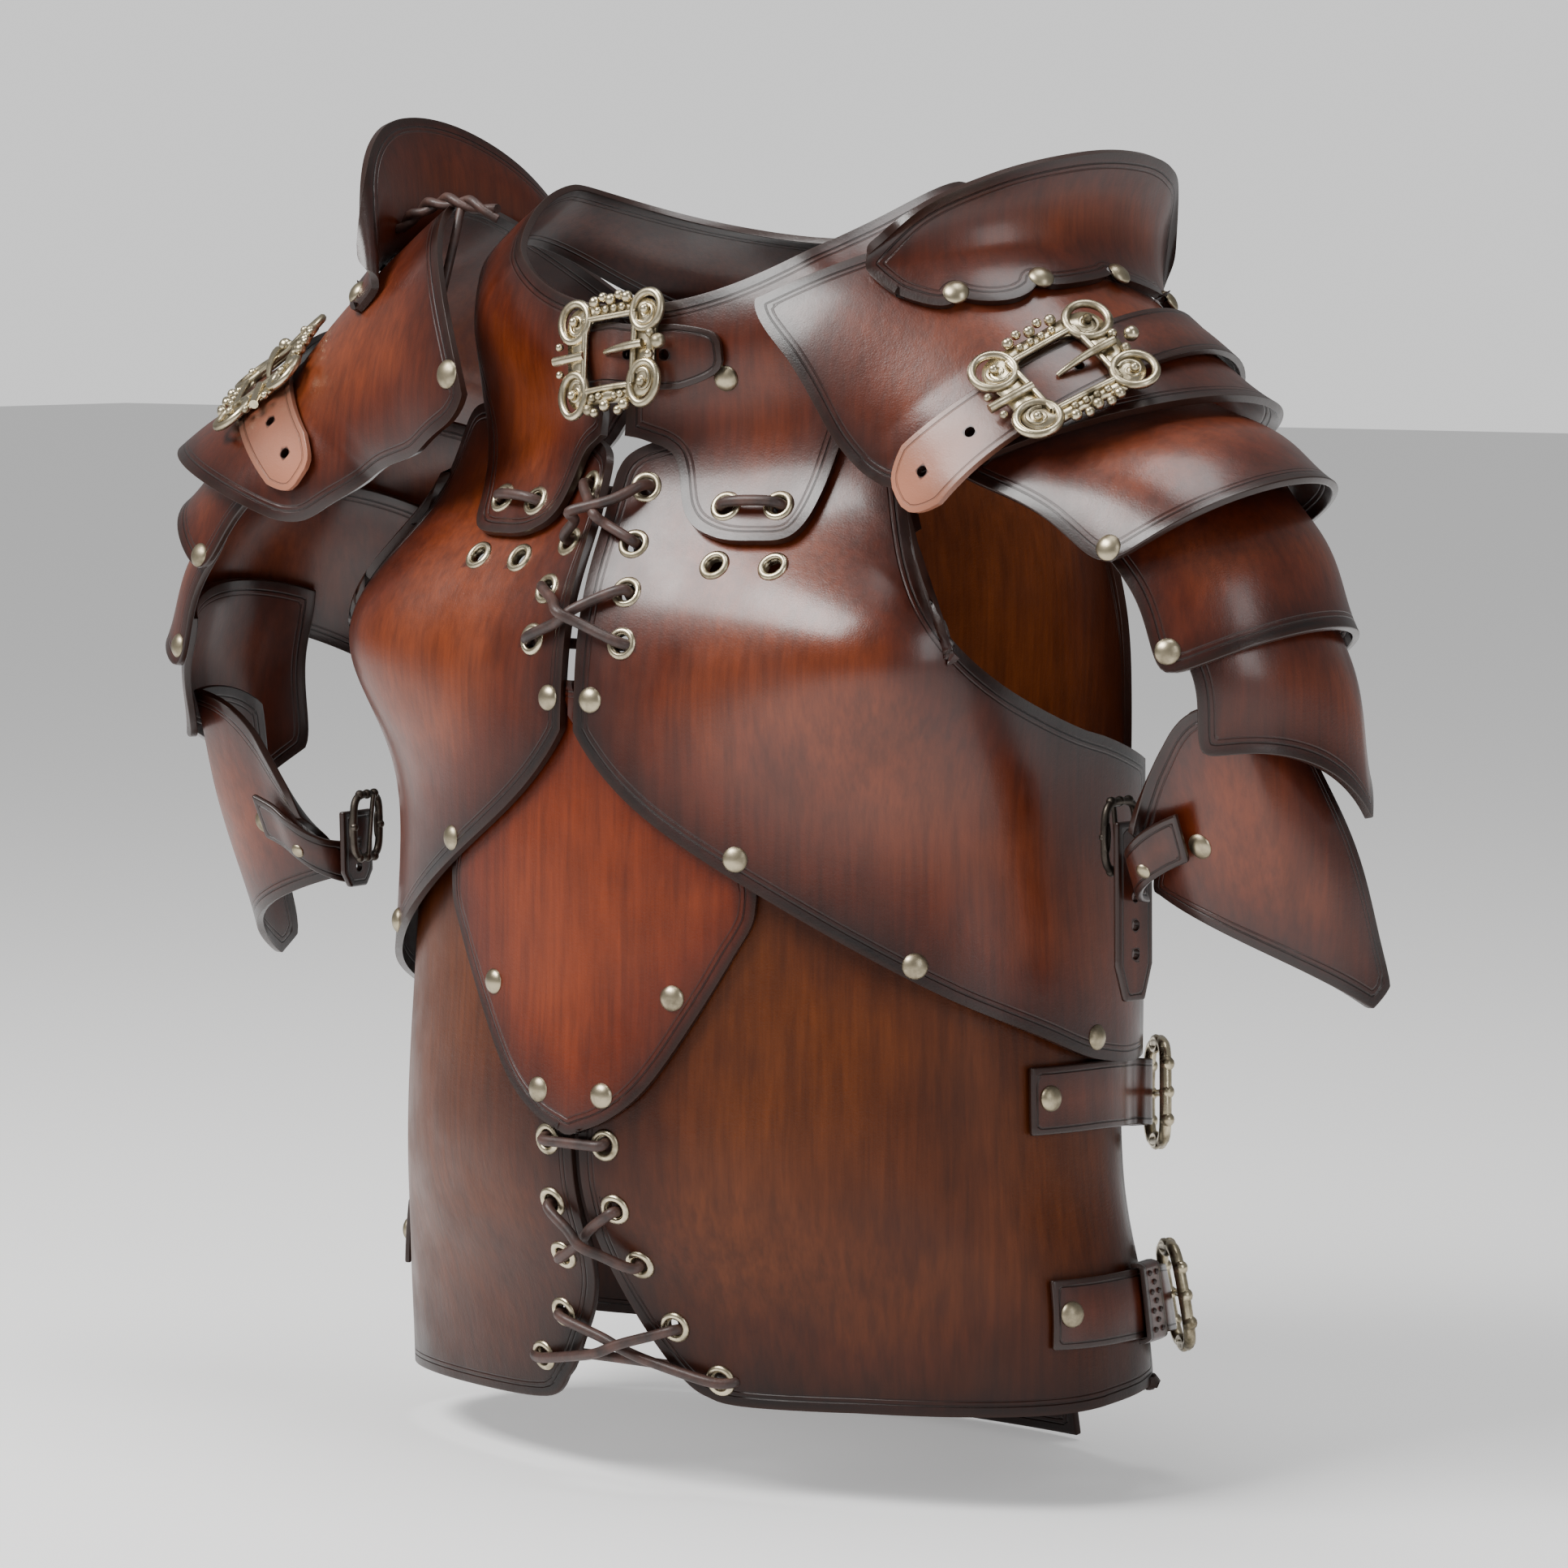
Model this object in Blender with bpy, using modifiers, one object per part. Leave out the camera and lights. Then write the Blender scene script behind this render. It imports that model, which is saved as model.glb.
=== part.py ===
"""Leather chest armour for a woman: two breast panels, a belly shield and two laced belly panels in
front, a back plate behind, a gorget round the neck, and on each shoulder a cap with a standing neck
guard and four lames down the arm. The wearer faces -Y, +X is the wearer's left, and the origin is
where the armour sits, midway between the tops of the shoulders.

Each leather piece is laid on one of two forms. The torso form is a stack of closed rings, and a place
on it is a turn (degrees, 0 in front, 90 at the wearer's left) and a level (ring number, up from the
hem). The shoulder form is a row of arches from the neck out over the shoulder, and a place on it is a
turn (degrees, 90 in front, 0 on top, -90 behind) and a level (arch number, out from the neck).
"""

import math

import bmesh
import bpy
from mathutils import Matrix, Vector

LEFT, RIGHT = 1, -1
SIDES = ((LEFT, "left"), (RIGHT, "right"))

# Steps over which a form's slope is measured: degrees, and levels or shares of a route
TURN_STEP = 1.0
LEVEL_STEP = 0.05
SHORT_STEP = 0.02

# Sizes of the torso form, in metres
BODY_LENGTH = 0.465
BODY_HALF_WIDTH = 0.157
FRONT_DEPTH = 0.122
BACK_DEPTH = 0.108
BUST_LIFT = 0.030
BUST_SPREAD = 0.062
BUST_RISE = 0.044
BUST_DROP = 0.170
BUST_TURN = 47.0
CHEST_FALL = 0.0125
CHEST_FALL_LEVEL = 6.3
CHEST_FALL_SPREAD = 1.1
CHEST_FALL_TURN = 22.0

# Sizes of the shoulder form and the sleeve of lames
SHOULDER_REACH = 0.220
SHOULDER_DROP = 0.072
SHOULDER_GIRTH = 0.081
SLEEVE_REACH = 0.225
SLEEVE_DROP = 0.300
SLEEVE_RADIUS = 0.060
RIGHT_CAP_SLIDE = 0.60
RIGHT_SHOULDER_OUT = 0.010
RIGHT_SHOULDER_UP = 0.006

# Leather, and the room between one layer and the next
LEATHER = 0.0030
LAYER_GAP = 0.0012
LAYER = LEATHER + LAYER_GAP
TOUCH_GAP = 0.0004
STRAP_GAP = 0.0021

# Fittings
STRAP_WIDTH = 0.026
STRAP_LEATHER = 0.0026
STRAP_TIP_SHARE = 0.45
ARM_TIP_SHARE = 0.55
ARM_TIP_START = 0.8
PAULDRON_BUCKLE = (0.062, 0.048)
GORGET_BUCKLE = (0.054, 0.047)
SIDE_BUCKLE = (0.034, 0.044)
ARM_BUCKLE = (0.018, 0.026)
ARM_STRAP_WIDTH = 0.020
BIG_BUCKLE_WIRE = 0.0036
SMALL_BUCKLE_WIRE = 0.0024
ARM_BUCKLE_WIRE = 0.0016
ARM_BUCKLE_POINTS = 8
BUCKLE_POINTS = 14
BUCKLE_SQUARENESS = 3.0
BIG_BUCKLE_SEAT = 0.0004
SIDE_BUCKLE_SEATS = {"upper": -0.0021, "lower": -0.0012}
LACE_WIRE = 0.0021
LACE_LIFT = 0.0011
LACE_BENDS = ((0.3, 0.6), (0.5, 1.0), (0.7, 0.6))
EYELET_HOLE = 0.0076
HOLE_SIDES = 8
CUTTER_LENGTH = 0.032
GUARD_HEIGHT = 0.046
GUARD_FLANGE = 0.013
GUARD_SEAT = LEATHER + TOUCH_GAP
FLANGE_TOP = 0.25
TAIL_TURN = 25.0
TAIL_LEVELS = (-0.62, 0.60)

# Rings of the torso, from the hem up. Heights are shares of BODY_LENGTH at the front, the sides and the
# back. Width, ahead and behind are shares of the half width and of the two depths. Keel rounds the
# front less the lower it is, and round does the same for the back.
# front, side, back, width, ahead, behind, keel, round
TORSO_RINGS = (
    (-0.994, -1.000, -1.010, 1.135, 0.770, 0.960, 1.65, 2.4),
    (-0.914, -0.914, -0.918, 1.120, 0.852, 0.880, 1.65, 2.4),
    (-0.806, -0.806, -0.806, 1.062, 1.016, 0.815, 1.70, 2.4),
    (-0.645, -0.645, -0.645, 1.032, 1.008, 0.930, 1.68, 2.4),
    (-0.505, -0.505, -0.505, 1.000, 1.000, 1.110, 1.60, 2.4),
    (-0.355, -0.355, -0.355, 0.987, 0.965, 1.167, 1.40, 2.4),
    (-0.258, -0.247, -0.247, 0.975, 0.860, 1.111, 1.25, 2.3),
    (-0.183, -0.140, -0.140, 0.949, 0.754, 0.981, 1.40, 2.3),
    (-0.129, -0.045, -0.077, 0.828, 0.705, 0.796, 1.80, 2.2),
    (-0.095, 0.013, -0.038, 0.618, 0.672, 0.556, 2.10, 2.1),
)
SIDE_ROUND = 2.2
RING_SWAY = 1.5
NECK_LEVEL = 9.0

# Arches of the shoulder, from the neck out. Reach and drop place the top of the arch, as shares of the
# two sizes. Tip is the angle of the arch's plane, and rise and girth are its radii upward and fore and
# aft, as shares of SHOULDER_GIRTH.
# reach, drop, tip, rise, girth
SHOULDER_ARCHES = (
    (0.27, 0.10, 8.0, 1.23, 1.14),
    (0.48, -0.08, 20.0, 1.20, 1.11),
    (0.67, -0.40, 36.0, 1.14, 1.06),
    (0.84, -0.76, 52.0, 1.06, 1.02),
    (0.97, -1.12, 65.0, 1.00, 0.99),
    (1.14, -1.45, 74.0, 0.98, 0.98),
    (1.29, -1.85, 82.0, 0.97, 0.97),
)

# Lower edges of the four lames. Reach, back and drop place the edge's centre, as shares of
# SLEEVE_REACH and SLEEVE_DROP. Radius is a share of SLEEVE_RADIUS. Front and rear are the turns where
# the lame ends, and the dips lower its front corner and its outer rear tip, as shares of SLEEVE_DROP.
# Flare is how far the tip stands out, and inset how far the lame is tucked in under the one above, as
# shares of SLEEVE_RADIUS. The lame lies closest to the one above at its seat turn.
# reach, back, drop, radius, slope, front, rear, front dip, tip dip, tip turn, tip sharpness, flare, inset,
# seat turn
LAMES = (
    (0.925, -0.085, 0.454, 1.08, 0.49, 76.0, -88.0, 0.030, 0.000, 0.0, 1.0, 0.0, 0.0, 76.0),
    (0.990, -0.080, 0.617, 1.00, 0.44, 70.0, -82.0, 0.005, 0.000, 0.0, 1.0, 0.0, 0.08, 70.0),
    (0.995, -0.044, 0.670, 0.93, 0.03, 62.0, -44.0, 0.020, 0.105, -20.4, 3.2, 0.11, 0.0, 62.0),
    (0.998, 0.130, 0.872, 0.88, 0.02, 129.0, -3.0, 0.000, 0.140, 11.7, 1.3, 0.03, 0.20, 48.0),
)
RIGHT_SLEEVE_OUT = 0.006
RIGHT_SLEEVE_DOWN = 0.018
FRONT, REAR, INSET, SEAT = 5, 6, 12, 13
TIP_SPREAD = 110.0
SLEEVE_FLATNESS = 0.90
LAME_TUCK = 0.70
LAME_TOP_LEVEL = 3.60
LAME_BULGE = 0.004
LAME_ROOM = 0.0038
FIRST_LAME_ROOM = 0.0075
FIRST_LAME_SEATS = {LEFT: -0.0006, RIGHT: -0.0024}
SEAT_SPREAD = 45.0
SEAT_FALL = 1.5
LAME_SEATS = (0.0, 0.0016, 0.0016, 0.0009)
LAME_BULGE_TOWARD = (1.0, 0.0, 0.6)

# Edges of the panels, row by row. Each row joins a place on the first edge to one on the second.
# turn, level, turn, level
BELLY_EDGES = (
    (112.0, 0.00, 16.0, -0.05),
    (112.0, 0.35, 11.0, 0.40),
    (112.0, 0.75, 6.0, 0.85),
    (112.0, 1.10, 3.0, 1.20),
    (112.0, 1.50, 1.7, 1.60),
    (112.0, 2.00, 1.6, 2.30),
    (112.0, 2.50, 4.0, 3.20),
    (112.0, 2.95, 7.0, 4.50),
)
# How far each belly panel's hem is shifted up at the rear and in front, in levels
HEM_SHIFT = {LEFT: (0.32, -0.05), RIGHT: (-0.28, -0.26)}
BREAST_EDGES = (
    (2.0, 4.47, 4.8, 6.35),
    (14.0, 4.08, 8.0, 6.62),
    (31.0, 3.65, 26.0, 6.85),
    (47.0, 3.26, 41.0, 6.90),
    (60.0, 3.00, 50.0, 6.75),
    (70.0, 2.86, 54.5, 6.20),
    (79.0, 2.75, 56.5, 5.50),
    (88.0, 2.64, 61.5, 4.98),
    (99.0, 2.59, 79.0, 4.56),
    (112.0, 2.60, 112.0, 4.22),
)
SHIELD_EDGES = (
    (1.5, 2.25),
    (9.0, 2.34),
    (16.0, 2.52),
    (23.5, 2.86),
    (29.5, 3.20),
    (33.0, 3.46),
    (32.0, 3.78),
    (21.0, 4.20),
    (7.0, 4.70),
)
BACK_EDGES = (
    (120.0, 0.12),
    (120.0, 1.00),
    (120.0, 2.00),
    (120.0, 3.00),
    (121.0, 4.00),
    (127.0, 4.70),
    (136.0, 5.40),
    (140.0, 6.10),
    (136.0, 6.80),
    (122.0, 7.40),
    (112.0, 7.60),
)
# Proud is how far the gorget stands off the form, as a share of LAYER: it lies over the breast panels
# and close in under the shoulder caps.
# turn, level, turn at the rim, share of the tab's shift, proud
GORGET_EDGES = (
    (4.4, 6.74, 1.2, 0.0, 1.0),
    (8.0, 6.68, 6.0, 0.5, 1.0),
    (13.5, 6.48, 11.0, 0.9, 1.0),
    (18.0, 5.90, 16.0, 1.0, 1.0),
    (23.0, 5.70, 21.0, 1.0, 1.0),
    (29.0, 5.66, 27.0, 1.0, 1.0),
    (35.0, 5.72, 33.0, 1.0, 1.0),
    (38.5, 6.10, 38.0, 1.0, 1.0),
    (42.0, 6.80, 45.0, 0.7, 0.9),
    (47.0, 7.50, 54.0, 0.3, 0.3),
    (58.0, 8.02, 66.0, 0.0, -0.3),
    (80.0, 8.14, 84.0, 0.0, -0.6),
    (104.0, 8.04, 104.0, 0.0, -0.6),
    (130.0, 7.60, 128.0, 0.0, -0.3),
    (155.0, 7.10, 153.0, 0.0, 0.0),
    (179.3, 7.00, 179.3, 0.0, 0.0),
)
# Arch raises the middle of each row toward the arm, so that the inner edge passes outside the neck.
# front turn, level, rear turn, level, arch
CAP_EDGES = {
    LEFT: (
        (61.0, 0.28, -55.0, 1.20, 0.95),
        (67.0, 0.70, -62.0, 1.48, 0.85),
        (76.0, 1.55, -72.0, 1.95, 0.60),
        (83.0, 2.25, -80.0, 2.50, 0.35),
        (88.0, 2.85, -86.0, 3.05, 0.18),
        (89.0, 3.30, -88.0, 3.60, 0.14),
        (86.0, 3.62, -84.0, 3.98, 0.14),
        (79.0, 3.84, -74.0, 4.14, 0.12),
    ),
    RIGHT: (
        (86.0, -0.26, -55.0, 1.05, 0.42),
        (90.0, 0.16, -62.0, 1.24, 0.40),
        (92.0, 1.00, -72.0, 1.68, 0.30),
        (94.0, 1.95, -80.0, 2.30, 0.18),
        (97.0, 2.90, -86.0, 3.00, 0.10),
        (101.0, 3.75, -88.0, 3.70, 0.10),
        (104.0, 4.35, -86.0, 4.20, 0.16),
        (102.0, 4.62, -78.0, 4.42, 0.26),
    ),
}
CAP_ARCH_BENDS = {LEFT: 1.0, RIGHT: 1.6}
CAP_ARCH_FULLNESS = 0.7
CAP_INNER_LIFT = 0.0075
CAP_LIFT_LEVELS = 2.6
CAP_FLARE = 0.0040
CAP_FLARE_LEVEL = 3.0

# Where the standing guard leaves the cap, how high it stands and how far its flange reaches down over the
# cap, as shares of GUARD_HEIGHT and GUARD_FLANGE.
# turn, level, height, flange
GUARD_FEET = {
    LEFT: (
        (47.0, 1.25, 0.28, 1.30),
        (41.0, 1.50, 0.52, 1.90),
        (28.0, 1.82, 0.68, 1.80),
        (11.0, 2.08, 0.80, 1.20),
        (-9.0, 2.24, 0.92, 0.90),
        (-28.0, 2.32, 1.04, 0.90),
        (-42.0, 2.32, 1.06, 0.90),
        (-50.0, 2.30, 0.65, 0.80),
    ),
    RIGHT: (
        (48.0, 1.96, 0.30, 1.00),
        (38.0, 2.06, 0.86, 1.10),
        (24.0, 2.12, 1.06, 1.10),
        (8.0, 2.12, 1.04, 1.00),
        (-9.0, 2.05, 0.90, 0.90),
        (-25.0, 2.00, 0.72, 0.90),
        (-37.0, 2.00, 0.52, 0.90),
        (-45.0, 2.00, 0.32, 0.80),
    ),
}
# outward, up: shares of GUARD_FLANGE and of the guard's height
GUARD_SECTION = ((1.0, 0.0), (0.25, 0.04), (-0.10, 0.22), (-0.05, 0.60), (0.45, 1.0))

# Eyelets that the laces pass, as turn and level on the wearer's left
CHEST_EYELETS = ((12.6, 6.20), (13.2, 5.67), (13.8, 5.27), (13.8, 4.92))
BELLY_EYELETS = ((7.5, 2.20), (8.0, 1.76), (9.5, 1.29), (13.0, 0.77), (19.0, 0.29))
TAB_EYELETS = ((24.5, 5.97), (32.5, 5.97))
UNDER_TAB_EYELETS = ((23.5, 5.50), (32.0, 5.50))
TAB_SHIFT = {LEFT: 4.5, RIGHT: 0.6}

# The order in which a lace passes its eyelets: side, row. It goes in and out by turns, and the last
# stretch of each pair of crossing stretches lies over the first.
CHEST_ROUTE = (
    (RIGHT, 0), (LEFT, 1), (LEFT, 2), (RIGHT, 3), (LEFT, 3), (RIGHT, 2), (RIGHT, 1), (LEFT, 0),
)
BELLY_ROUTE = (
    (RIGHT, 0), (LEFT, 0), (LEFT, 1), (RIGHT, 2), (RIGHT, 3), (LEFT, 4),
    (RIGHT, 4), (LEFT, 3), (LEFT, 2), (RIGHT, 1),
)

# Straps, along the form that carries them: turn, level, lift off the leather in metres
PAULDRON_STRAP = (
    (89.0, 3.72, 0.0), (64.0, 3.48, 0.0), (34.0, 3.30, 0.0), (-8.0, 3.14, 0.0), (-58.0, 3.10, 0.0),
)
GORGET_STRAP = ((-12.0, 7.86, -0.0010), (0.0, 7.88, 0.0), (12.0, 7.86, 0.0), (23.0, 7.82, -0.0010))
SIDE_STRAPS = {
    "upper": (
        (76.0, 2.46, -0.0012), (92.0, 2.45, 0.0), (111.0, 2.41, 0.0), (117.0, 2.39, 0.005),
        (123.0, 2.37, 0.009), (133.0, 2.33, 0.005), (145.0, 2.29, 0.0001),
    ),
    "lower": (
        (74.0, 1.07, -0.0012), (90.0, 1.07, 0.0), (106.0, 1.04, 0.0), (115.0, 1.00, 0.004),
        (123.0, 0.95, 0.007), (133.0, 0.92, 0.004), (145.0, 0.89, -0.0012),
    ),
}
SIDE_BUCKLE_PLACE = 0.66
# The arm strap passes round the front corner of the lowest lame, and its end hangs from a small buckle
# beside that corner. Shares of SLEEVE_REACH, SLEEVE_REACH and SLEEVE_DROP: reach, back, drop.
ARM_BAND = (
    (1.009, -0.184, 0.791), (0.970, -0.180, 0.803), (0.933, -0.180, 0.819), (0.899, -0.165, 0.836),
    (0.874, -0.133, 0.848), (0.861, -0.092, 0.853),
)
ARM_BAND_ASIDE = (0.0, 0.43, -0.90)
ARM_END_TOP = (0.845, -0.093, 0.780)
ARM_END_TIPS = {LEFT: (0.845, -0.089, 1.005), RIGHT: (0.845, -0.089, 0.885)}
ARM_END_ASIDE = (-0.10, -0.99, 0.0)
ARM_BUCKLE_SEAT = (0.832, -0.093, 0.800)
PAULDRON_BUCKLE_PLACE = 0.47
GORGET_BUCKLE_PLACE = 0.35

# finish: colour, roughness, metallic
FINISHES = {
    "leather": ((0.16, 0.035, 0.012, 1.0), 0.35, 0.0),
    "strap_leather": ((0.20, 0.055, 0.022, 1.0), 0.40, 0.0),
    "buckle_metal": ((0.55, 0.50, 0.36, 1.0), 0.35, 1.0),
    "lace": ((0.045, 0.014, 0.008, 1.0), 0.60, 0.0),
}


def clear_scene():
    for thing in list(bpy.data.objects):
        bpy.data.objects.remove(thing, do_unlink=True)


def material(finish):
    """The Principled material of one finish, made once."""
    found = bpy.data.materials.get(finish)
    if found:
        return found
    colour, roughness, metallic = FINISHES[finish]
    made = bpy.data.materials.new(finish)
    made.use_nodes = True
    shader = made.node_tree.nodes["Principled BSDF"]
    shader.inputs["Base Color"].default_value = colour
    shader.inputs["Roughness"].default_value = roughness
    shader.inputs["Metallic"].default_value = metallic
    return made


def table_at(table, share):
    """A row between the rows of a table, on a smooth curve through them; share runs from 0 to 1."""
    last = len(table) - 1
    place = share * last
    if place < 0:
        return [b + (c - b) * place for b, c in zip(table[0], table[1])]
    row = min(max(int(math.floor(place)), 0), last - 1)
    t = place - row
    before, start, end, after = (table[min(max(row + step, 0), last)] for step in (-1, 0, 1, 2))
    return [
        0.5 * (2 * b + (c - a) * t + (2 * a - 5 * b + 4 * c - d) * t * t + (3 * b - a - 3 * c + d) * t**3)
        for a, b, c, d in zip(before, start, end, after)
    ]


def mix(low, high, share):
    return low + (high - low) * share


def power(value, exponent):
    return math.copysign(abs(value) ** exponent, value)


def torso_point(turn, level):
    """A point of the torso form's bare surface."""
    front, side, back, width, ahead, behind, keel, rounding = table_at(
        TORSO_RINGS, level / (len(TORSO_RINGS) - 1)
    )
    sine, cosine = math.sin(math.radians(turn)), math.cos(math.radians(turn))
    facing = cosine > 0
    x = BODY_HALF_WIDTH * width * power(sine, 2 / (keel if facing else rounding))
    depth = FRONT_DEPTH * ahead if facing else BACK_DEPTH * behind
    y = -depth * power(cosine, 2 / (SIDE_ROUND if facing else rounding))
    z = mix(side, front if facing else back, abs(cosine) ** RING_SWAY) * BODY_LENGTH
    away = abs((turn + 180.0) % 360.0 - 180.0) / CHEST_FALL_TURN
    above = (level - CHEST_FALL_LEVEL) / CHEST_FALL_SPREAD
    y += CHEST_FALL * away * math.exp(1.0 - away - above**2)
    for hand in (LEFT, RIGHT):
        toward = math.radians(BUST_TURN * hand)
        away_x = x - BODY_HALF_WIDTH * math.sin(toward)
        away_y = y + FRONT_DEPTH * math.cos(toward)
        level_gap = (z + BUST_DROP) / BUST_RISE
        lift = BUST_LIFT * math.exp(-(away_x**2 + away_y**2) / BUST_SPREAD**2 - level_gap**2)
        x += lift * math.sin(toward)
        y -= lift * math.cos(toward)
    return Vector((x, y, z))


def shoulder_point(turn, level):
    """A point of the wearer's left shoulder form's bare surface."""
    reach, drop, tip, rise, girth = table_at(SHOULDER_ARCHES, level / (len(SHOULDER_ARCHES) - 1))
    up = Vector((math.sin(math.radians(tip)), 0.0, math.cos(math.radians(tip))))
    top = Vector((SHOULDER_REACH * reach, 0.0, SHOULDER_DROP * drop))
    angle = math.radians(turn)
    bow = up * (SHOULDER_GIRTH * rise * (math.cos(angle) - 1))
    fore = Vector((0.0, -SHOULDER_GIRTH * girth * math.sin(angle), 0.0))
    return top + bow + fore


def surface_normal(surface, turn, level):
    across = surface(turn + TURN_STEP, level) - surface(turn - TURN_STEP, level)
    upward = surface(turn, level + LEVEL_STEP) - surface(turn, level - LEVEL_STEP)
    return across.cross(upward).normalized()


def on_torso(turn, level, proud=0.0):
    """A place on the torso form, moved out by proud."""
    return torso_point(turn, level) + surface_normal(torso_point, turn, level) * proud


def on_shoulder(turn, level, proud=0.0):
    """A place on the wearer's left shoulder form, moved out by proud."""
    return shoulder_point(turn, level) + surface_normal(shoulder_point, turn, level) * proud


def mirrored(point, side):
    return Vector((point.x * side, point.y, point.z))


def at_shoulder(point, side):
    """A point of the wearer's left shoulder, or its like on the right, which hangs further out."""
    if side == LEFT:
        return point
    return Vector((-point.x - RIGHT_SHOULDER_OUT, point.y, point.z + RIGHT_SHOULDER_UP))


def add_part(name, mesh_or_curve, finish):
    part = bpy.data.objects.new(name, mesh_or_curve)
    part.data.materials.append(material(finish))
    bpy.data.collections["chest_armour"].objects.link(part)
    return part


def add_skin(name, place, steps, finish, thickness=LEATHER, flipped=False):
    """A wall of leather: a grid whose corners are set by place(along, across), thickened inwards."""
    skin = bmesh.new()
    bmesh.ops.create_grid(skin, x_segments=steps[0], y_segments=steps[1], size=0.5)
    for corner in skin.verts:
        corner.co = place(corner.co.x + 0.5, corner.co.y + 0.5)
    if flipped:
        bmesh.ops.reverse_faces(skin, faces=skin.faces)
    mesh = bpy.data.meshes.new(name)
    skin.to_mesh(mesh)
    skin.free()
    mesh.shade_smooth()
    part = add_part(name, mesh, finish)
    wall = part.modifiers.new("leather", "SOLIDIFY")
    wall.thickness = thickness
    wall.offset = -1.0
    return part


def add_wire(name, points, radius, finish, closed=False, resolution=1):
    """A round cord or rod along the points."""
    path = bpy.data.curves.new(name, "CURVE")
    path.dimensions = "3D"
    path.bevel_depth = radius
    path.bevel_resolution = resolution
    path.use_fill_caps = not closed
    spline = path.splines.new("POLY")
    spline.points.add(len(points) - 1)
    for knot, point in zip(spline.points, points):
        knot.co = (*point, 1.0)
    spline.use_cyclic_u = closed
    return add_part(name, path, finish)


def torso_panel(name, side, edges, steps, proud, finish="leather"):
    """A panel on the torso between two edges, given as rows of turn, level, turn, level."""

    def place(along, across):
        first_turn, first_level, second_turn, second_level = table_at(edges, along)
        turn = mix(first_turn, second_turn, across)
        level = mix(first_level, second_level, across)
        return mirrored(on_torso(turn, level, proud), side)

    return add_skin(name, place, steps, finish, flipped=side == RIGHT)


def make_belly():
    """The two belly panels, laced down the middle under the shield."""
    for side, word in SIDES:
        rear_shift, front_shift = HEM_SHIFT[side]
        hem = BELLY_EDGES[0]
        first_row = (hem[0], hem[1] + rear_shift, hem[2], hem[3] + front_shift)
        edges = (first_row,) + BELLY_EDGES[1:]
        abdomen = torso_panel(f"abdomen_{word}", side, edges, (10, 9), -2 * LAYER)
        pierce(abdomen, BELLY_EYELETS, side)


def make_breasts():
    for side, word in SIDES:
        breast = torso_panel(f"breast_{word}", side, BREAST_EDGES, (16, 8), 0.0)
        shift = TAB_SHIFT[side]
        under = [(turn + shift, level) for turn, level in TAB_EYELETS + UNDER_TAB_EYELETS]
        pierce(breast, list(CHEST_EYELETS) + under, side)


def make_shield():
    """The leaf-shaped shield that hangs from under the breast panels."""
    edges = tuple((turn, level, -turn, level) for turn, level in SHIELD_EDGES)
    torso_panel("belly_shield", LEFT, edges, (10, 6), -LAYER)


def make_back():
    """The back plate, and the tail that hangs below its hem."""
    edges = tuple((360.0 - turn, level, turn, level) for turn, level in BACK_EDGES)
    torso_panel("back_plate", LEFT, edges, (12, 12), -2 * LAYER)
    tail = tuple((180.0 + TAIL_TURN, level, 180.0 - TAIL_TURN, level) for level in TAIL_LEVELS)
    torso_panel("tail_flap", LEFT, tail, (4, 6), -LAYER)


def make_gorget():
    for side, word in SIDES:
        shift = TAB_SHIFT[side]

        def place(along, across, side=side, shift=shift):
            turn, level, rim, share, proud = table_at(GORGET_EDGES, along)
            point_turn = mix(turn + shift * share, rim, across)
            return mirrored(on_torso(point_turn, mix(level, NECK_LEVEL, across), LAYER * proud), side)

        gorget = add_skin(f"gorget_{word}", place, (22, 5), "leather", flipped=side == RIGHT)
        pierce(gorget, [(turn + shift, level) for turn, level in TAB_EYELETS], side)


def cap_slide(side):
    return RIGHT_CAP_SLIDE if side == RIGHT else 0.0


def cap_proud(level, side):
    """How far the cap stands off the shoulder form: more over the gorget, and where it flares at the arm."""
    place = level - cap_slide(side)
    flare = CAP_FLARE * max((place - CAP_FLARE_LEVEL) / (CAP_EDGES[LEFT][-1][1] - CAP_FLARE_LEVEL), 0.0)
    return LAYER + CAP_INNER_LIFT * max(1.0 - place / CAP_LIFT_LEVELS, 0.0) + flare


def cap_point(along, across, side):
    """A point on the outside of a shoulder cap: along runs out from the neck, across from front to rear."""
    front, front_level, rear, rear_level, arch = table_at(CAP_EDGES[side], along)
    rise = math.sin(math.pi * across ** CAP_ARCH_BENDS[side]) ** CAP_ARCH_FULLNESS
    level = mix(front_level, rear_level, across) + arch * rise + cap_slide(side)
    return at_shoulder(on_shoulder(mix(front, rear, across), level, cap_proud(level, side)), side)


def make_caps():
    for side, word in SIDES:

        def place(along, across, side=side):
            return cap_point(along, across, side)

        add_skin(f"pauldron_cap_{word}", place, (8, 10), "leather", flipped=side == RIGHT)


def guard_point(along, across, side):
    """A point on the outside of a standing guard: across runs from the flange's edge up to the top."""
    turn, level, share, flange = table_at(GUARD_FEET[side], along)
    outward, up = table_at(GUARD_SECTION, across)
    foot = on_shoulder(turn, level, GUARD_SEAT + cap_proud(level, side))
    further = level + LEVEL_STEP
    step = on_shoulder(turn, further, GUARD_SEAT + cap_proud(further, side)) - foot
    reach = GUARD_FLANGE * outward * (flange if outward > 0 else 1.0)
    laid_level = level + LEVEL_STEP * reach / step.length
    laid = on_shoulder(turn, laid_level, GUARD_SEAT + cap_proud(laid_level, side))
    upright = foot + Vector((step.x, step.y, 0.0)).normalized() * (GUARD_FLANGE * outward)
    point = upright.lerp(laid, max(1.0 - up / FLANGE_TOP, 0.0))
    point.z += GUARD_HEIGHT * share * up
    return at_shoulder(point, side)


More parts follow.
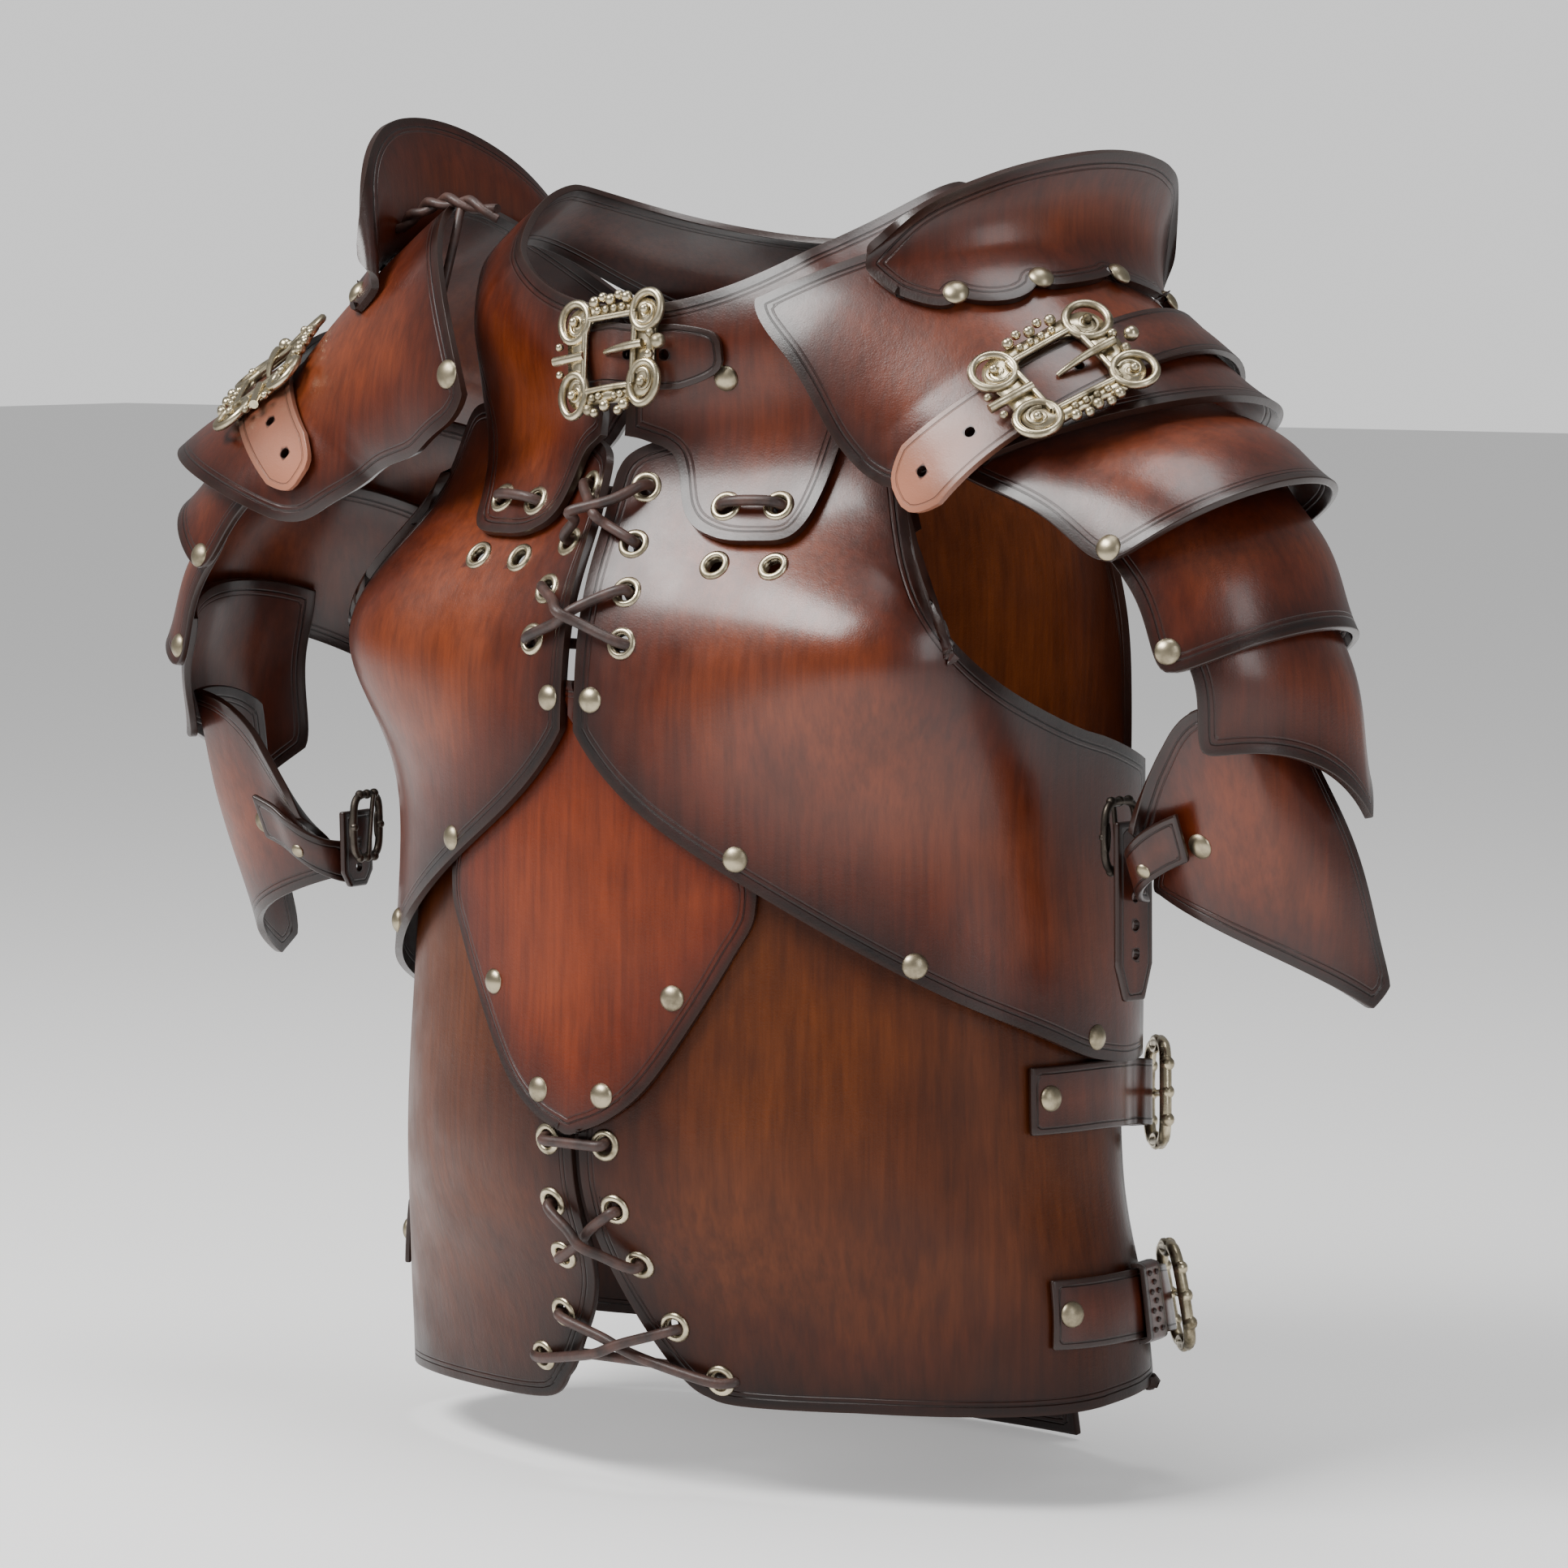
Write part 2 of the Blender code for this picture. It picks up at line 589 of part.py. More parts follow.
def make_guards():
    """The standing guards between the neck and the shoulder caps."""
    for side, word in SIDES:

        def place(along, across, side=side):
            return guard_point(along, across, side)

        add_skin(f"neck_guard_{word}", place, (12, 5), "leather", flipped=side == RIGHT)


def lame_edge(row, turn, side):
    """A point of a lame's lower edge."""
    reach, back, drop, radius, slope, front, _, front_dip, tip_dip, tip_turn, sharpness, flare, _, _ = row
    angle = math.radians(turn)
    size = SLEEVE_RADIUS * radius
    dip = front_dip * max(turn / front, 0.0) ** 3
    tip = max(1.0 - abs(turn - tip_turn) / TIP_SPREAD, 0.0) ** sharpness
    dip += tip_dip * tip
    out, down = (RIGHT_SLEEVE_OUT, RIGHT_SLEEVE_DOWN) if side == RIGHT else (0.0, 0.0)
    return Vector(
        (
            SLEEVE_REACH * reach + size * SLEEVE_FLATNESS * math.cos(angle) + out + SLEEVE_RADIUS * flare * tip,
            SLEEVE_REACH * back - size * math.sin(angle),
            -SLEEVE_DROP * (drop + dip) + size * slope * math.cos(angle) - down,
        )
    )


def lame_point(index, turn, across, side):
    """A point on the outside of a lame: across is 0 where it is tucked in and 1 at its lower edge."""
    row = LAMES[index]
    seated = max(1.0 - abs(turn - row[SEAT]) / SEAT_SPREAD, 0.0) ** SEAT_FALL
    if index == 0:
        room = mix(FIRST_LAME_ROOM, FIRST_LAME_SEATS[side], seated)
        top = on_shoulder(turn, LAME_TOP_LEVEL + cap_slide(side), -room)
        if side == RIGHT:
            top += Vector((RIGHT_SHOULDER_OUT, 0.0, RIGHT_SHOULDER_UP))
    else:
        inner = lame_point(index - 1, turn, LAME_TUCK, side)
        along = lame_point(index - 1, turn + 2 * TURN_STEP, LAME_TUCK, side) - inner
        down = lame_point(index - 1, turn, LAME_TUCK + SHORT_STEP, side) - inner
        inward = down.cross(along).normalized()
        room = mix(LAME_ROOM + SLEEVE_RADIUS * row[INSET], LAME_SEATS[index], seated)
        top = inner + inward * (LEATHER + room)
    edge = lame_edge(row, turn, side)
    bulge = Vector(LAME_BULGE_TOWARD) * (LAME_BULGE * math.sin(math.pi * across) ** 2)
    return top.lerp(edge, across) + bulge


def make_lames():
    for side, word in SIDES:
        for index, row in enumerate(LAMES):

            def place(along, across, side=side, index=index, row=row):
                turn = mix(row[REAR], row[FRONT], across)
                return mirrored(lame_point(index, turn, along, side), side)

            name = f"lame_{index + 1}_{word}"
            add_skin(name, place, (4, 9), "leather", flipped=side == LEFT)


def beside(form, turn, level, proud, toward, aside, distance_along, distance_aside):
    """The point that lies so far along and aside of a place on a form, proud(level) off the form."""
    height = proud(level)
    half_turn = TURN_STEP / 2
    by_turn = (form(turn + half_turn, level, height) - form(turn - half_turn, level, height)) / TURN_STEP
    by_level = form(turn, level + SHORT_STEP, height) - form(turn, level - SHORT_STEP, height)
    by_level /= 2 * SHORT_STEP
    wanted = toward * distance_along + aside * distance_aside
    tt, tl, ll = by_turn.dot(by_turn), by_turn.dot(by_level), by_level.dot(by_level)
    wt, wl = wanted.dot(by_turn), wanted.dot(by_level)
    fall = tt * ll - tl * tl
    new_level = level + (wl * tt - wt * tl) / fall
    return form(turn + (wt * ll - wl * tl) / fall, new_level, proud(new_level))


def strap_frame(form, route, along, slide):
    """Turn, level and lift of a place of a strap, and the directions along it and aside."""
    turn, level, lift = table_at(route, along)
    ahead_turn, ahead_level, _ = table_at(route, min(along + SHORT_STEP, 1.0))
    after_turn, after_level, _ = table_at(route, max(along - SHORT_STEP, 0.0))
    toward = form(ahead_turn, ahead_level + slide) - form(after_turn, after_level + slide)
    toward.normalize()
    normal = surface_normal(form, turn, level + slide)
    return turn, level + slide, lift, toward, normal.cross(toward).normalized()


def add_strap(name, form, route, side, proud, steps, slide=0.0, tips=(0.0, 0.0)):
    """A strap on a form. Tips are the shares of its length over which its ends are rounded."""
    settle = at_shoulder if form is on_shoulder else mirrored

    def place(along, across):
        turn, level, lift, toward, aside = strap_frame(form, route, along, slide)
        width = STRAP_WIDTH
        for tip, gap in zip(tips, (along, 1.0 - along)):
            if tip > gap:
                width *= mix(STRAP_TIP_SHARE, 1.0, math.sqrt(gap / tip))

        def height(at_level):
            return proud(at_level) + lift

        return settle(beside(form, turn, level, height, toward, aside, 0.0, width * (across - 0.5)), side)

    return add_skin(name, place, steps, "strap_leather", thickness=STRAP_LEATHER, flipped=side == RIGHT)


def add_buckle(name, form, route, along, side, proud, size, wire, seat, slide=0.0):
    """The frame of a buckle, round the strap at a place of its route."""
    settle = at_shoulder if form is on_shoulder else mirrored
    turn, level, lift, toward, aside = strap_frame(form, route, along, slide)

    def height(at_level):
        return proud(at_level) + lift + wire + seat

    points = []
    for step in range(BUCKLE_POINTS):
        angle = 2 * math.pi * step / BUCKLE_POINTS
        ahead = (size[0] / 2 - wire) * power(math.cos(angle), 2 / BUCKLE_SQUARENESS)
        over = (size[1] / 2 - wire) * power(math.sin(angle), 2 / BUCKLE_SQUARENESS)
        points.append(settle(beside(form, turn, level, height, toward, aside, ahead, over), side))
    return add_wire(name, points, wire, "buckle_metal", closed=True)


def pierce(part, eyelets, side):
    """Cuts the hole of each eyelet through a panel of the torso."""
    drill = bmesh.new()
    for turn, level in eyelets:
        centre = mirrored(on_torso(turn, level), side)
        axis = mirrored(surface_normal(torso_point, turn, level), side)
        turned = axis.to_track_quat("Z", "Y").to_matrix().to_4x4()
        bmesh.ops.create_cone(
            drill,
            cap_ends=True,
            segments=HOLE_SIDES,
            radius1=EYELET_HOLE / 2,
            radius2=EYELET_HOLE / 2,
            depth=CUTTER_LENGTH,
            matrix=Matrix.Translation(centre) @ turned,
        )
    mesh = bpy.data.meshes.new(f"{part.name}_holes")
    drill.to_mesh(mesh)
    drill.free()
    cutter = bpy.data.objects.new(f"{part.name}_holes", mesh)
    cutter.hide_render = True
    bpy.data.collections["chest_armour"].objects.link(cutter)
    cut = part.modifiers.new("eyelet holes", "BOOLEAN")
    cut.operation = "DIFFERENCE"
    cut.solver = "EXACT"
    cut.object = cutter


def lace_points(eyelets, route, proud):
    """The closed path of a lace that passes the eyelets by turns outward and inward."""
    outside = proud + LACE_WIRE + LACE_LIFT
    inside = proud - LEATHER - LACE_WIRE - LACE_LIFT
    points = []
    for order, (side, row) in enumerate(route):
        turn, level = eyelets[row]
        outward = order % 2 == 0
        heights = (inside, outside) if outward else (outside, inside)
        for height in heights:
            points.append(mirrored(on_torso(turn, level, height), side))
        next_side, next_row = route[(order + 1) % len(route)]
        if outward and next_side != side:
            next_turn, next_level = eyelets[next_row]
            over = 2 * LACE_WIRE + LACE_LIFT if order >= len(route) // 2 else 0.0
            for share, bend in LACE_BENDS:
                middle_turn = mix(turn * side, next_turn * next_side, share)
                middle_level = mix(level, next_level, share)
                points.append(on_torso(middle_turn, middle_level, outside + over * bend))
    return points


def make_laces():
    add_wire("chest_lace", lace_points(CHEST_EYELETS, CHEST_ROUTE, 0.0), LACE_WIRE, "lace", closed=True)
    belly = lace_points(BELLY_EYELETS, BELLY_ROUTE, -2 * LAYER)
    add_wire("belly_lace", belly, LACE_WIRE, "lace", closed=True)
    for side, word in SIDES:
        points = []
        outside = LAYER + LACE_WIRE + LACE_LIFT
        inside = -LEATHER - LACE_WIRE - LACE_LIFT
        rows = [(turn + TAB_SHIFT[side], level) for turn, level in TAB_EYELETS]
        for (turn, level), heights in zip(rows, ((inside, outside), (outside, inside))):
            for height in heights:
                points.append(mirrored(on_torso(turn, level, height), side))
        add_wire(f"tab_lace_{word}", points, LACE_WIRE, "lace", closed=True)


def at_sleeve(row, side):
    """A point by the arm, from its shares of SLEEVE_REACH and SLEEVE_DROP."""
    reach, back, drop = row
    out, down = (RIGHT_SLEEVE_OUT, RIGHT_SLEEVE_DOWN) if side == RIGHT else (0.0, 0.0)
    return Vector((SLEEVE_REACH * reach + out, SLEEVE_REACH * back, -SLEEVE_DROP * drop - down))


def arm_band_point(along, across, side):
    """A point on the outside of the band round the lowest lame's front corner."""
    middle = at_sleeve(table_at(ARM_BAND, along), side)
    return mirrored(middle + Vector(ARM_BAND_ASIDE) * (ARM_STRAP_WIDTH * (across - 0.5)), side)


def arm_end_point(along, across, side):
    """A point on the outside of the strap end that hangs from the arm buckle."""
    middle = at_sleeve(ARM_END_TOP, side).lerp(at_sleeve(ARM_END_TIPS[side], side), along)
    width = ARM_STRAP_WIDTH
    if along > ARM_TIP_START:
        width *= mix(1.0, ARM_TIP_SHARE, (along - ARM_TIP_START) / (1.0 - ARM_TIP_START))
    return mirrored(middle + Vector(ARM_END_ASIDE) * (width * (across - 0.5)), side)


def arm_buckle_points(side):
    """The middle line of the arm buckle's frame, in the plane of the strap end."""
    middle = at_sleeve(ARM_BUCKLE_SEAT, side)
    points = []
    for step in range(ARM_BUCKLE_POINTS):
        angle = 2 * math.pi * step / ARM_BUCKLE_POINTS
        over = Vector(ARM_END_ASIDE) * (ARM_BUCKLE[0] / 2 * math.cos(angle))
        points.append(mirrored(middle + over + Vector((0.0, 0.0, ARM_BUCKLE[1] / 2 * math.sin(angle))), side))
    return points


def make_arm_straps():
    for side, word in SIDES:

        def band(along, across, side=side):
            return arm_band_point(along, across, side)

        def end(along, across, side=side):
            return arm_end_point(along, across, side)

        add_skin(f"arm_strap_{word}", band, (6, 1), "strap_leather", STRAP_LEATHER, flipped=side == RIGHT)
        add_skin(f"arm_strap_end_{word}", end, (4, 1), "strap_leather", STRAP_LEATHER, flipped=side == RIGHT)
        add_wire(f"arm_buckle_{word}", arm_buckle_points(side), ARM_BUCKLE_WIRE, "buckle_metal", closed=True)


def make_straps():
    strap_room = STRAP_GAP + STRAP_LEATHER
    for side, word in SIDES:
        slide = cap_slide(side)

        def over_cap(level, side=side):
            return cap_proud(level, side) + strap_room

        add_strap(
            f"pauldron_strap_{word}", on_shoulder, PAULDRON_STRAP, side, over_cap, (12, 2), slide, (0.10, 0.0),
        )
        add_buckle(
            f"pauldron_buckle_{word}", on_shoulder, PAULDRON_STRAP, PAULDRON_BUCKLE_PLACE, side,
            over_cap, PAULDRON_BUCKLE, BIG_BUCKLE_WIRE, BIG_BUCKLE_SEAT, slide,
        )

    def over_gorget(_level):
        return LAYER + strap_room

    def over_belly(_level):
        return -2 * LAYER + strap_room

    add_strap("gorget_strap", on_torso, GORGET_STRAP, LEFT, over_gorget, (6, 2), 0.0, (0.0, 0.25))
    add_buckle(
        "gorget_buckle", on_torso, GORGET_STRAP, GORGET_BUCKLE_PLACE, LEFT,
        over_gorget, GORGET_BUCKLE, BIG_BUCKLE_WIRE, BIG_BUCKLE_SEAT,
    )
    for side, word in SIDES:
        for height, route in SIDE_STRAPS.items():
            add_strap(f"side_strap_{height}_{word}", on_torso, route, side, over_belly, (10, 2))
            add_buckle(
                f"side_buckle_{height}_{word}", on_torso, route, SIDE_BUCKLE_PLACE, side,
                over_belly, SIDE_BUCKLE, SMALL_BUCKLE_WIRE, SIDE_BUCKLE_SEATS[height],
            )


def main():
    clear_scene()
    collection = bpy.data.collections.new("chest_armour")
    bpy.context.scene.collection.children.link(collection)
    make_belly()
    make_breasts()
    make_shield()
    make_back()
    make_gorget()
    make_caps()
    make_guards()
    make_lames()
    make_straps()
    make_arm_straps()
    make_laces()


main()
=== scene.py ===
"""The finished look of the leather chest armour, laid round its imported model: burnished leather panels,
laces, eyelets, rivets and cast buckles. The forms at the top are those that the model's own pieces lie on."""

import math
from functools import partial

import bmesh
import bpy
import numpy as np
from mathutils import Matrix, Vector, noise


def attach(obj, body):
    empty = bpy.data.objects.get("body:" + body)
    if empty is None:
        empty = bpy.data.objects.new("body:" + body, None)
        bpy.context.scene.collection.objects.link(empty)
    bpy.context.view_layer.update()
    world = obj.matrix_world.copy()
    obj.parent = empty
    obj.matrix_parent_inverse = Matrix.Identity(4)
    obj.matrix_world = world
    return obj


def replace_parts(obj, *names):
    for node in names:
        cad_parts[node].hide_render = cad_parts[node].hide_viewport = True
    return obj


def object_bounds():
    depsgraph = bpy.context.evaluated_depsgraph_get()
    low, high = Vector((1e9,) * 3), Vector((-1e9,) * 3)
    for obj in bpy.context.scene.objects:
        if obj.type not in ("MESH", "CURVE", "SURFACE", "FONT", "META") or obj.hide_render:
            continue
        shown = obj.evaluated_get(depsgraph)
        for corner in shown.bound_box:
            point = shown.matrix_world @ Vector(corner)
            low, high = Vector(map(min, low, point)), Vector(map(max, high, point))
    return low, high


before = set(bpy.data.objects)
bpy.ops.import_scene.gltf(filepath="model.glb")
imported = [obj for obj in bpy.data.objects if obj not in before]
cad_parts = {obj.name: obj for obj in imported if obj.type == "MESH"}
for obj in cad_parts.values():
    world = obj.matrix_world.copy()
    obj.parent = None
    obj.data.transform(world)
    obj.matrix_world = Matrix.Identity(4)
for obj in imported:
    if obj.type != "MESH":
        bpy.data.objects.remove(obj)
cad_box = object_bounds()

LEFT, RIGHT = 1, -1
SIDES = ((LEFT, "left"), (RIGHT, "right"))

# Steps over which a form's slope is measured: degrees, and levels or shares of a route
TURN_STEP = 1.0
LEVEL_STEP = 0.05
SHORT_STEP = 0.02

# Sizes of the torso form, in metres
BODY_LENGTH = 0.465
BODY_HALF_WIDTH = 0.157
FRONT_DEPTH = 0.122
BACK_DEPTH = 0.108
BUST_LIFT = 0.030
BUST_SPREAD = 0.062
BUST_RISE = 0.044
BUST_DROP = 0.170
BUST_TURN = 47.0
CHEST_FALL = 0.0125
CHEST_FALL_LEVEL = 6.3
CHEST_FALL_SPREAD = 1.1
CHEST_FALL_TURN = 22.0

# Sizes of the shoulder form and the sleeve of lames
SHOULDER_REACH = 0.220
SHOULDER_DROP = 0.072
SHOULDER_GIRTH = 0.081
SLEEVE_REACH = 0.225
SLEEVE_DROP = 0.300
SLEEVE_RADIUS = 0.060
RIGHT_CAP_SLIDE = 0.60
RIGHT_SHOULDER_OUT = 0.010
RIGHT_SHOULDER_UP = 0.006

# Leather, and the room between one layer and the next
LEATHER = 0.0030
LAYER_GAP = 0.0012
LAYER = LEATHER + LAYER_GAP
TOUCH_GAP = 0.0004
STRAP_GAP = 0.0021

# Fittings
STRAP_WIDTH = 0.026
STRAP_LEATHER = 0.0026
ARM_TIP_SHARE = 0.55
ARM_TIP_START = 0.8
PAULDRON_BUCKLE = (0.062, 0.048)
GORGET_BUCKLE = (0.054, 0.047)
SIDE_BUCKLE = (0.034, 0.044)
ARM_BUCKLE = (0.018, 0.026)
ARM_STRAP_WIDTH = 0.020
SMALL_BUCKLE_WIRE = 0.0024
ARM_BUCKLE_WIRE = 0.0016
LACE_WIRE = 0.0021
LACE_LIFT = 0.0011
LACE_BENDS = ((0.3, 0.6), (0.5, 1.0), (0.7, 0.6))
EYELET_HOLE = 0.0076
CUTTER_LENGTH = 0.032
GUARD_HEIGHT = 0.046
GUARD_FLANGE = 0.013
GUARD_SEAT = LEATHER + TOUCH_GAP
FLANGE_TOP = 0.25
TAIL_TURN = 25.0
TAIL_LEVELS = (-0.62, 0.60)

# Rings of the torso, from the hem up. Heights are shares of BODY_LENGTH at the front, the sides and the
# back. Width, ahead and behind are shares of the half width and of the two depths. Keel rounds the
# front less the lower it is, and round does the same for the back.
# front, side, back, width, ahead, behind, keel, round
TORSO_RINGS = (
    (-0.994, -1.000, -1.010, 1.135, 0.770, 0.960, 1.65, 2.4),
    (-0.914, -0.914, -0.918, 1.120, 0.852, 0.880, 1.65, 2.4),
    (-0.806, -0.806, -0.806, 1.062, 1.016, 0.815, 1.70, 2.4),
    (-0.645, -0.645, -0.645, 1.032, 1.008, 0.930, 1.68, 2.4),
    (-0.505, -0.505, -0.505, 1.000, 1.000, 1.110, 1.60, 2.4),
    (-0.355, -0.355, -0.355, 0.987, 0.965, 1.167, 1.40, 2.4),
    (-0.258, -0.247, -0.247, 0.975, 0.860, 1.111, 1.25, 2.3),
    (-0.183, -0.140, -0.140, 0.949, 0.754, 0.981, 1.40, 2.3),
    (-0.129, -0.045, -0.077, 0.828, 0.705, 0.796, 1.80, 2.2),
    (-0.095, 0.013, -0.038, 0.618, 0.672, 0.556, 2.10, 2.1),
)
SIDE_ROUND = 2.2
RING_SWAY = 1.5
NECK_LEVEL = 9.0

# Arches of the shoulder, from the neck out. Reach and drop place the top of the arch, as shares of the
# two sizes. Tip is the angle of the arch's plane, and rise and girth are its radii upward and fore and
# aft, as shares of SHOULDER_GIRTH.
# reach, drop, tip, rise, girth
SHOULDER_ARCHES = (
    (0.27, 0.10, 8.0, 1.23, 1.14),
    (0.48, -0.08, 20.0, 1.20, 1.11),
    (0.67, -0.40, 36.0, 1.14, 1.06),
    (0.84, -0.76, 52.0, 1.06, 1.02),
    (0.97, -1.12, 65.0, 1.00, 0.99),
    (1.14, -1.45, 74.0, 0.98, 0.98),
    (1.29, -1.85, 82.0, 0.97, 0.97),
)

# Lower edges of the four lames. Reach, back and drop place the edge's centre, as shares of
# SLEEVE_REACH and SLEEVE_DROP. Radius is a share of SLEEVE_RADIUS. Front and rear are the turns where
# the lame ends, and the dips lower its front corner and its outer rear tip, as shares of SLEEVE_DROP.
# Flare is how far the tip stands out, and inset how far the lame is tucked in under the one above, as
# shares of SLEEVE_RADIUS. The lame lies closest to the one above at its seat turn.
# reach, back, drop, radius, slope, front, rear, front dip, tip dip, tip turn, tip sharpness, flare, inset,
# seat turn
LAMES = (
    (0.925, -0.085, 0.454, 1.08, 0.49, 76.0, -88.0, 0.030, 0.000, 0.0, 1.0, 0.0, 0.0, 76.0),
    (0.990, -0.080, 0.617, 1.00, 0.44, 70.0, -82.0, 0.005, 0.000, 0.0, 1.0, 0.0, 0.08, 70.0),
    (0.995, -0.044, 0.670, 0.93, 0.03, 62.0, -44.0, 0.020, 0.105, -20.4, 3.2, 0.11, 0.0, 62.0),
    (0.998, 0.130, 0.872, 0.88, 0.02, 129.0, -3.0, 0.000, 0.140, 11.7, 1.3, 0.03, 0.20, 48.0),
)
RIGHT_SLEEVE_OUT = 0.006
RIGHT_SLEEVE_DOWN = 0.018
FRONT, REAR, INSET, SEAT = 5, 6, 12, 13
TIP_SPREAD = 110.0
SLEEVE_FLATNESS = 0.90
LAME_TUCK = 0.70
LAME_TOP_LEVEL = 3.60
LAME_BULGE = 0.004
LAME_ROOM = 0.0038
FIRST_LAME_ROOM = 0.0075
FIRST_LAME_SEATS = {LEFT: -0.0006, RIGHT: -0.0024}
SEAT_SPREAD = 45.0
SEAT_FALL = 1.5
LAME_SEATS = (0.0, 0.0016, 0.0016, 0.0009)
LAME_BULGE_TOWARD = (1.0, 0.0, 0.6)

# Edges of the panels, row by row. Each row joins a place on the first edge to one on the second.
# turn, level, turn, level
BELLY_EDGES = (
    (112.0, 0.00, 16.0, -0.05),
    (112.0, 0.35, 11.0, 0.40),
    (112.0, 0.75, 6.0, 0.85),
    (112.0, 1.10, 3.0, 1.20),
    (112.0, 1.50, 1.7, 1.60),
    (112.0, 2.00, 1.6, 2.30),
    (112.0, 2.50, 4.0, 3.20),
    (112.0, 2.95, 7.0, 4.50),
)
# How far each belly panel's hem is shifted up at the rear and in front, in levels
HEM_SHIFT = {LEFT: (0.32, -0.05), RIGHT: (-0.28, -0.26)}
BREAST_EDGES = (
    (2.0, 4.47, 4.8, 6.35),
    (14.0, 4.08, 8.0, 6.62),
    (31.0, 3.65, 26.0, 6.85),
    (47.0, 3.26, 41.0, 6.90),
    (60.0, 3.00, 50.0, 6.75),
    (70.0, 2.86, 54.5, 6.20),
    (79.0, 2.75, 56.5, 5.50),
    (88.0, 2.64, 61.5, 4.98),
    (99.0, 2.59, 79.0, 4.56),
    (112.0, 2.60, 112.0, 4.22),
)
SHIELD_EDGES = (
    (1.5, 2.25),
    (9.0, 2.34),
    (16.0, 2.52),
    (23.5, 2.86),
    (29.5, 3.20),
    (33.0, 3.46),
    (32.0, 3.78),
    (21.0, 4.20),
    (7.0, 4.70),
)
BACK_EDGES = (
    (120.0, 0.12),
    (120.0, 1.00),
    (120.0, 2.00),
    (120.0, 3.00),
    (121.0, 4.00),
    (127.0, 4.70),
    (136.0, 5.40),
    (140.0, 6.10),
    (136.0, 6.80),
    (122.0, 7.40),
    (112.0, 7.60),
)
# Proud is how far the gorget stands off the form, as a share of LAYER: it lies over the breast panels
# and close in under the shoulder caps.
# turn, level, turn at the rim, share of the tab's shift, proud
GORGET_EDGES = (
    (4.4, 6.74, 1.2, 0.0, 1.0),
    (8.0, 6.68, 6.0, 0.5, 1.0),
    (13.5, 6.48, 11.0, 0.9, 1.0),
    (18.0, 5.90, 16.0, 1.0, 1.0),
    (23.0, 5.70, 21.0, 1.0, 1.0),
    (29.0, 5.66, 27.0, 1.0, 1.0),
    (35.0, 5.72, 33.0, 1.0, 1.0),
    (38.5, 6.10, 38.0, 1.0, 1.0),
    (42.0, 6.80, 45.0, 0.7, 0.9),
    (47.0, 7.50, 54.0, 0.3, 0.3),
    (58.0, 8.02, 66.0, 0.0, -0.3),
    (80.0, 8.14, 84.0, 0.0, -0.6),
    (104.0, 8.04, 104.0, 0.0, -0.6),
    (130.0, 7.60, 128.0, 0.0, -0.3),
    (155.0, 7.10, 153.0, 0.0, 0.0),
    (179.3, 7.00, 179.3, 0.0, 0.0),
)
# Arch raises the middle of each row toward the arm, so that the inner edge passes outside the neck.
# front turn, level, rear turn, level, arch
CAP_EDGES = {
    LEFT: (
        (61.0, 0.28, -55.0, 1.20, 0.95),
        (67.0, 0.70, -62.0, 1.48, 0.85),
        (76.0, 1.55, -72.0, 1.95, 0.60),
        (83.0, 2.25, -80.0, 2.50, 0.35),
        (88.0, 2.85, -86.0, 3.05, 0.18),
        (89.0, 3.30, -88.0, 3.60, 0.14),
        (86.0, 3.62, -84.0, 3.98, 0.14),
        (79.0, 3.84, -74.0, 4.14, 0.12),
    ),
    RIGHT: (
        (86.0, -0.26, -55.0, 1.05, 0.42),
        (90.0, 0.16, -62.0, 1.24, 0.40),
        (92.0, 1.00, -72.0, 1.68, 0.30),
        (94.0, 1.95, -80.0, 2.30, 0.18),
        (97.0, 2.90, -86.0, 3.00, 0.10),
        (101.0, 3.75, -88.0, 3.70, 0.10),
        (104.0, 4.35, -86.0, 4.20, 0.16),
        (102.0, 4.62, -78.0, 4.42, 0.26),
    ),
}
CAP_ARCH_BENDS = {LEFT: 1.0, RIGHT: 1.6}
CAP_ARCH_FULLNESS = 0.7
CAP_INNER_LIFT = 0.0075
CAP_LIFT_LEVELS = 2.6
CAP_FLARE = 0.0040
CAP_FLARE_LEVEL = 3.0

# Where the standing guard leaves the cap, how high it stands and how far its flange reaches down over the
# cap, as shares of GUARD_HEIGHT and GUARD_FLANGE.
# turn, level, height, flange
GUARD_FEET = {
    LEFT: (
        (47.0, 1.25, 0.28, 1.30),
        (41.0, 1.50, 0.52, 1.90),
        (28.0, 1.82, 0.68, 1.80),
        (11.0, 2.08, 0.80, 1.20),
        (-9.0, 2.24, 0.92, 0.90),
        (-28.0, 2.32, 1.04, 0.90),
        (-42.0, 2.32, 1.06, 0.90),
        (-50.0, 2.30, 0.65, 0.80),
    ),
    RIGHT: (
        (48.0, 1.96, 0.30, 1.00),
        (38.0, 2.06, 0.86, 1.10),
        (24.0, 2.12, 1.06, 1.10),
        (8.0, 2.12, 1.04, 1.00),
        (-9.0, 2.05, 0.90, 0.90),
        (-25.0, 2.00, 0.72, 0.90),
        (-37.0, 2.00, 0.52, 0.90),
        (-45.0, 2.00, 0.32, 0.80),
    ),
}
# outward, up: shares of GUARD_FLANGE and of the guard's height
GUARD_SECTION = ((1.0, 0.0), (0.25, 0.04), (-0.10, 0.22), (-0.05, 0.60), (0.45, 1.0))

# Eyelets that the laces pass, as turn and level on the wearer's left
CHEST_EYELETS = ((12.6, 6.20), (13.2, 5.67), (13.8, 5.27), (13.8, 4.92))
BELLY_EYELETS = ((7.5, 2.20), (8.0, 1.76), (9.5, 1.29), (13.0, 0.77), (19.0, 0.29))
TAB_EYELETS = ((24.5, 5.97), (32.5, 5.97))
UNDER_TAB_EYELETS = ((23.5, 5.50), (32.0, 5.50))
TAB_SHIFT = {LEFT: 4.5, RIGHT: 0.6}

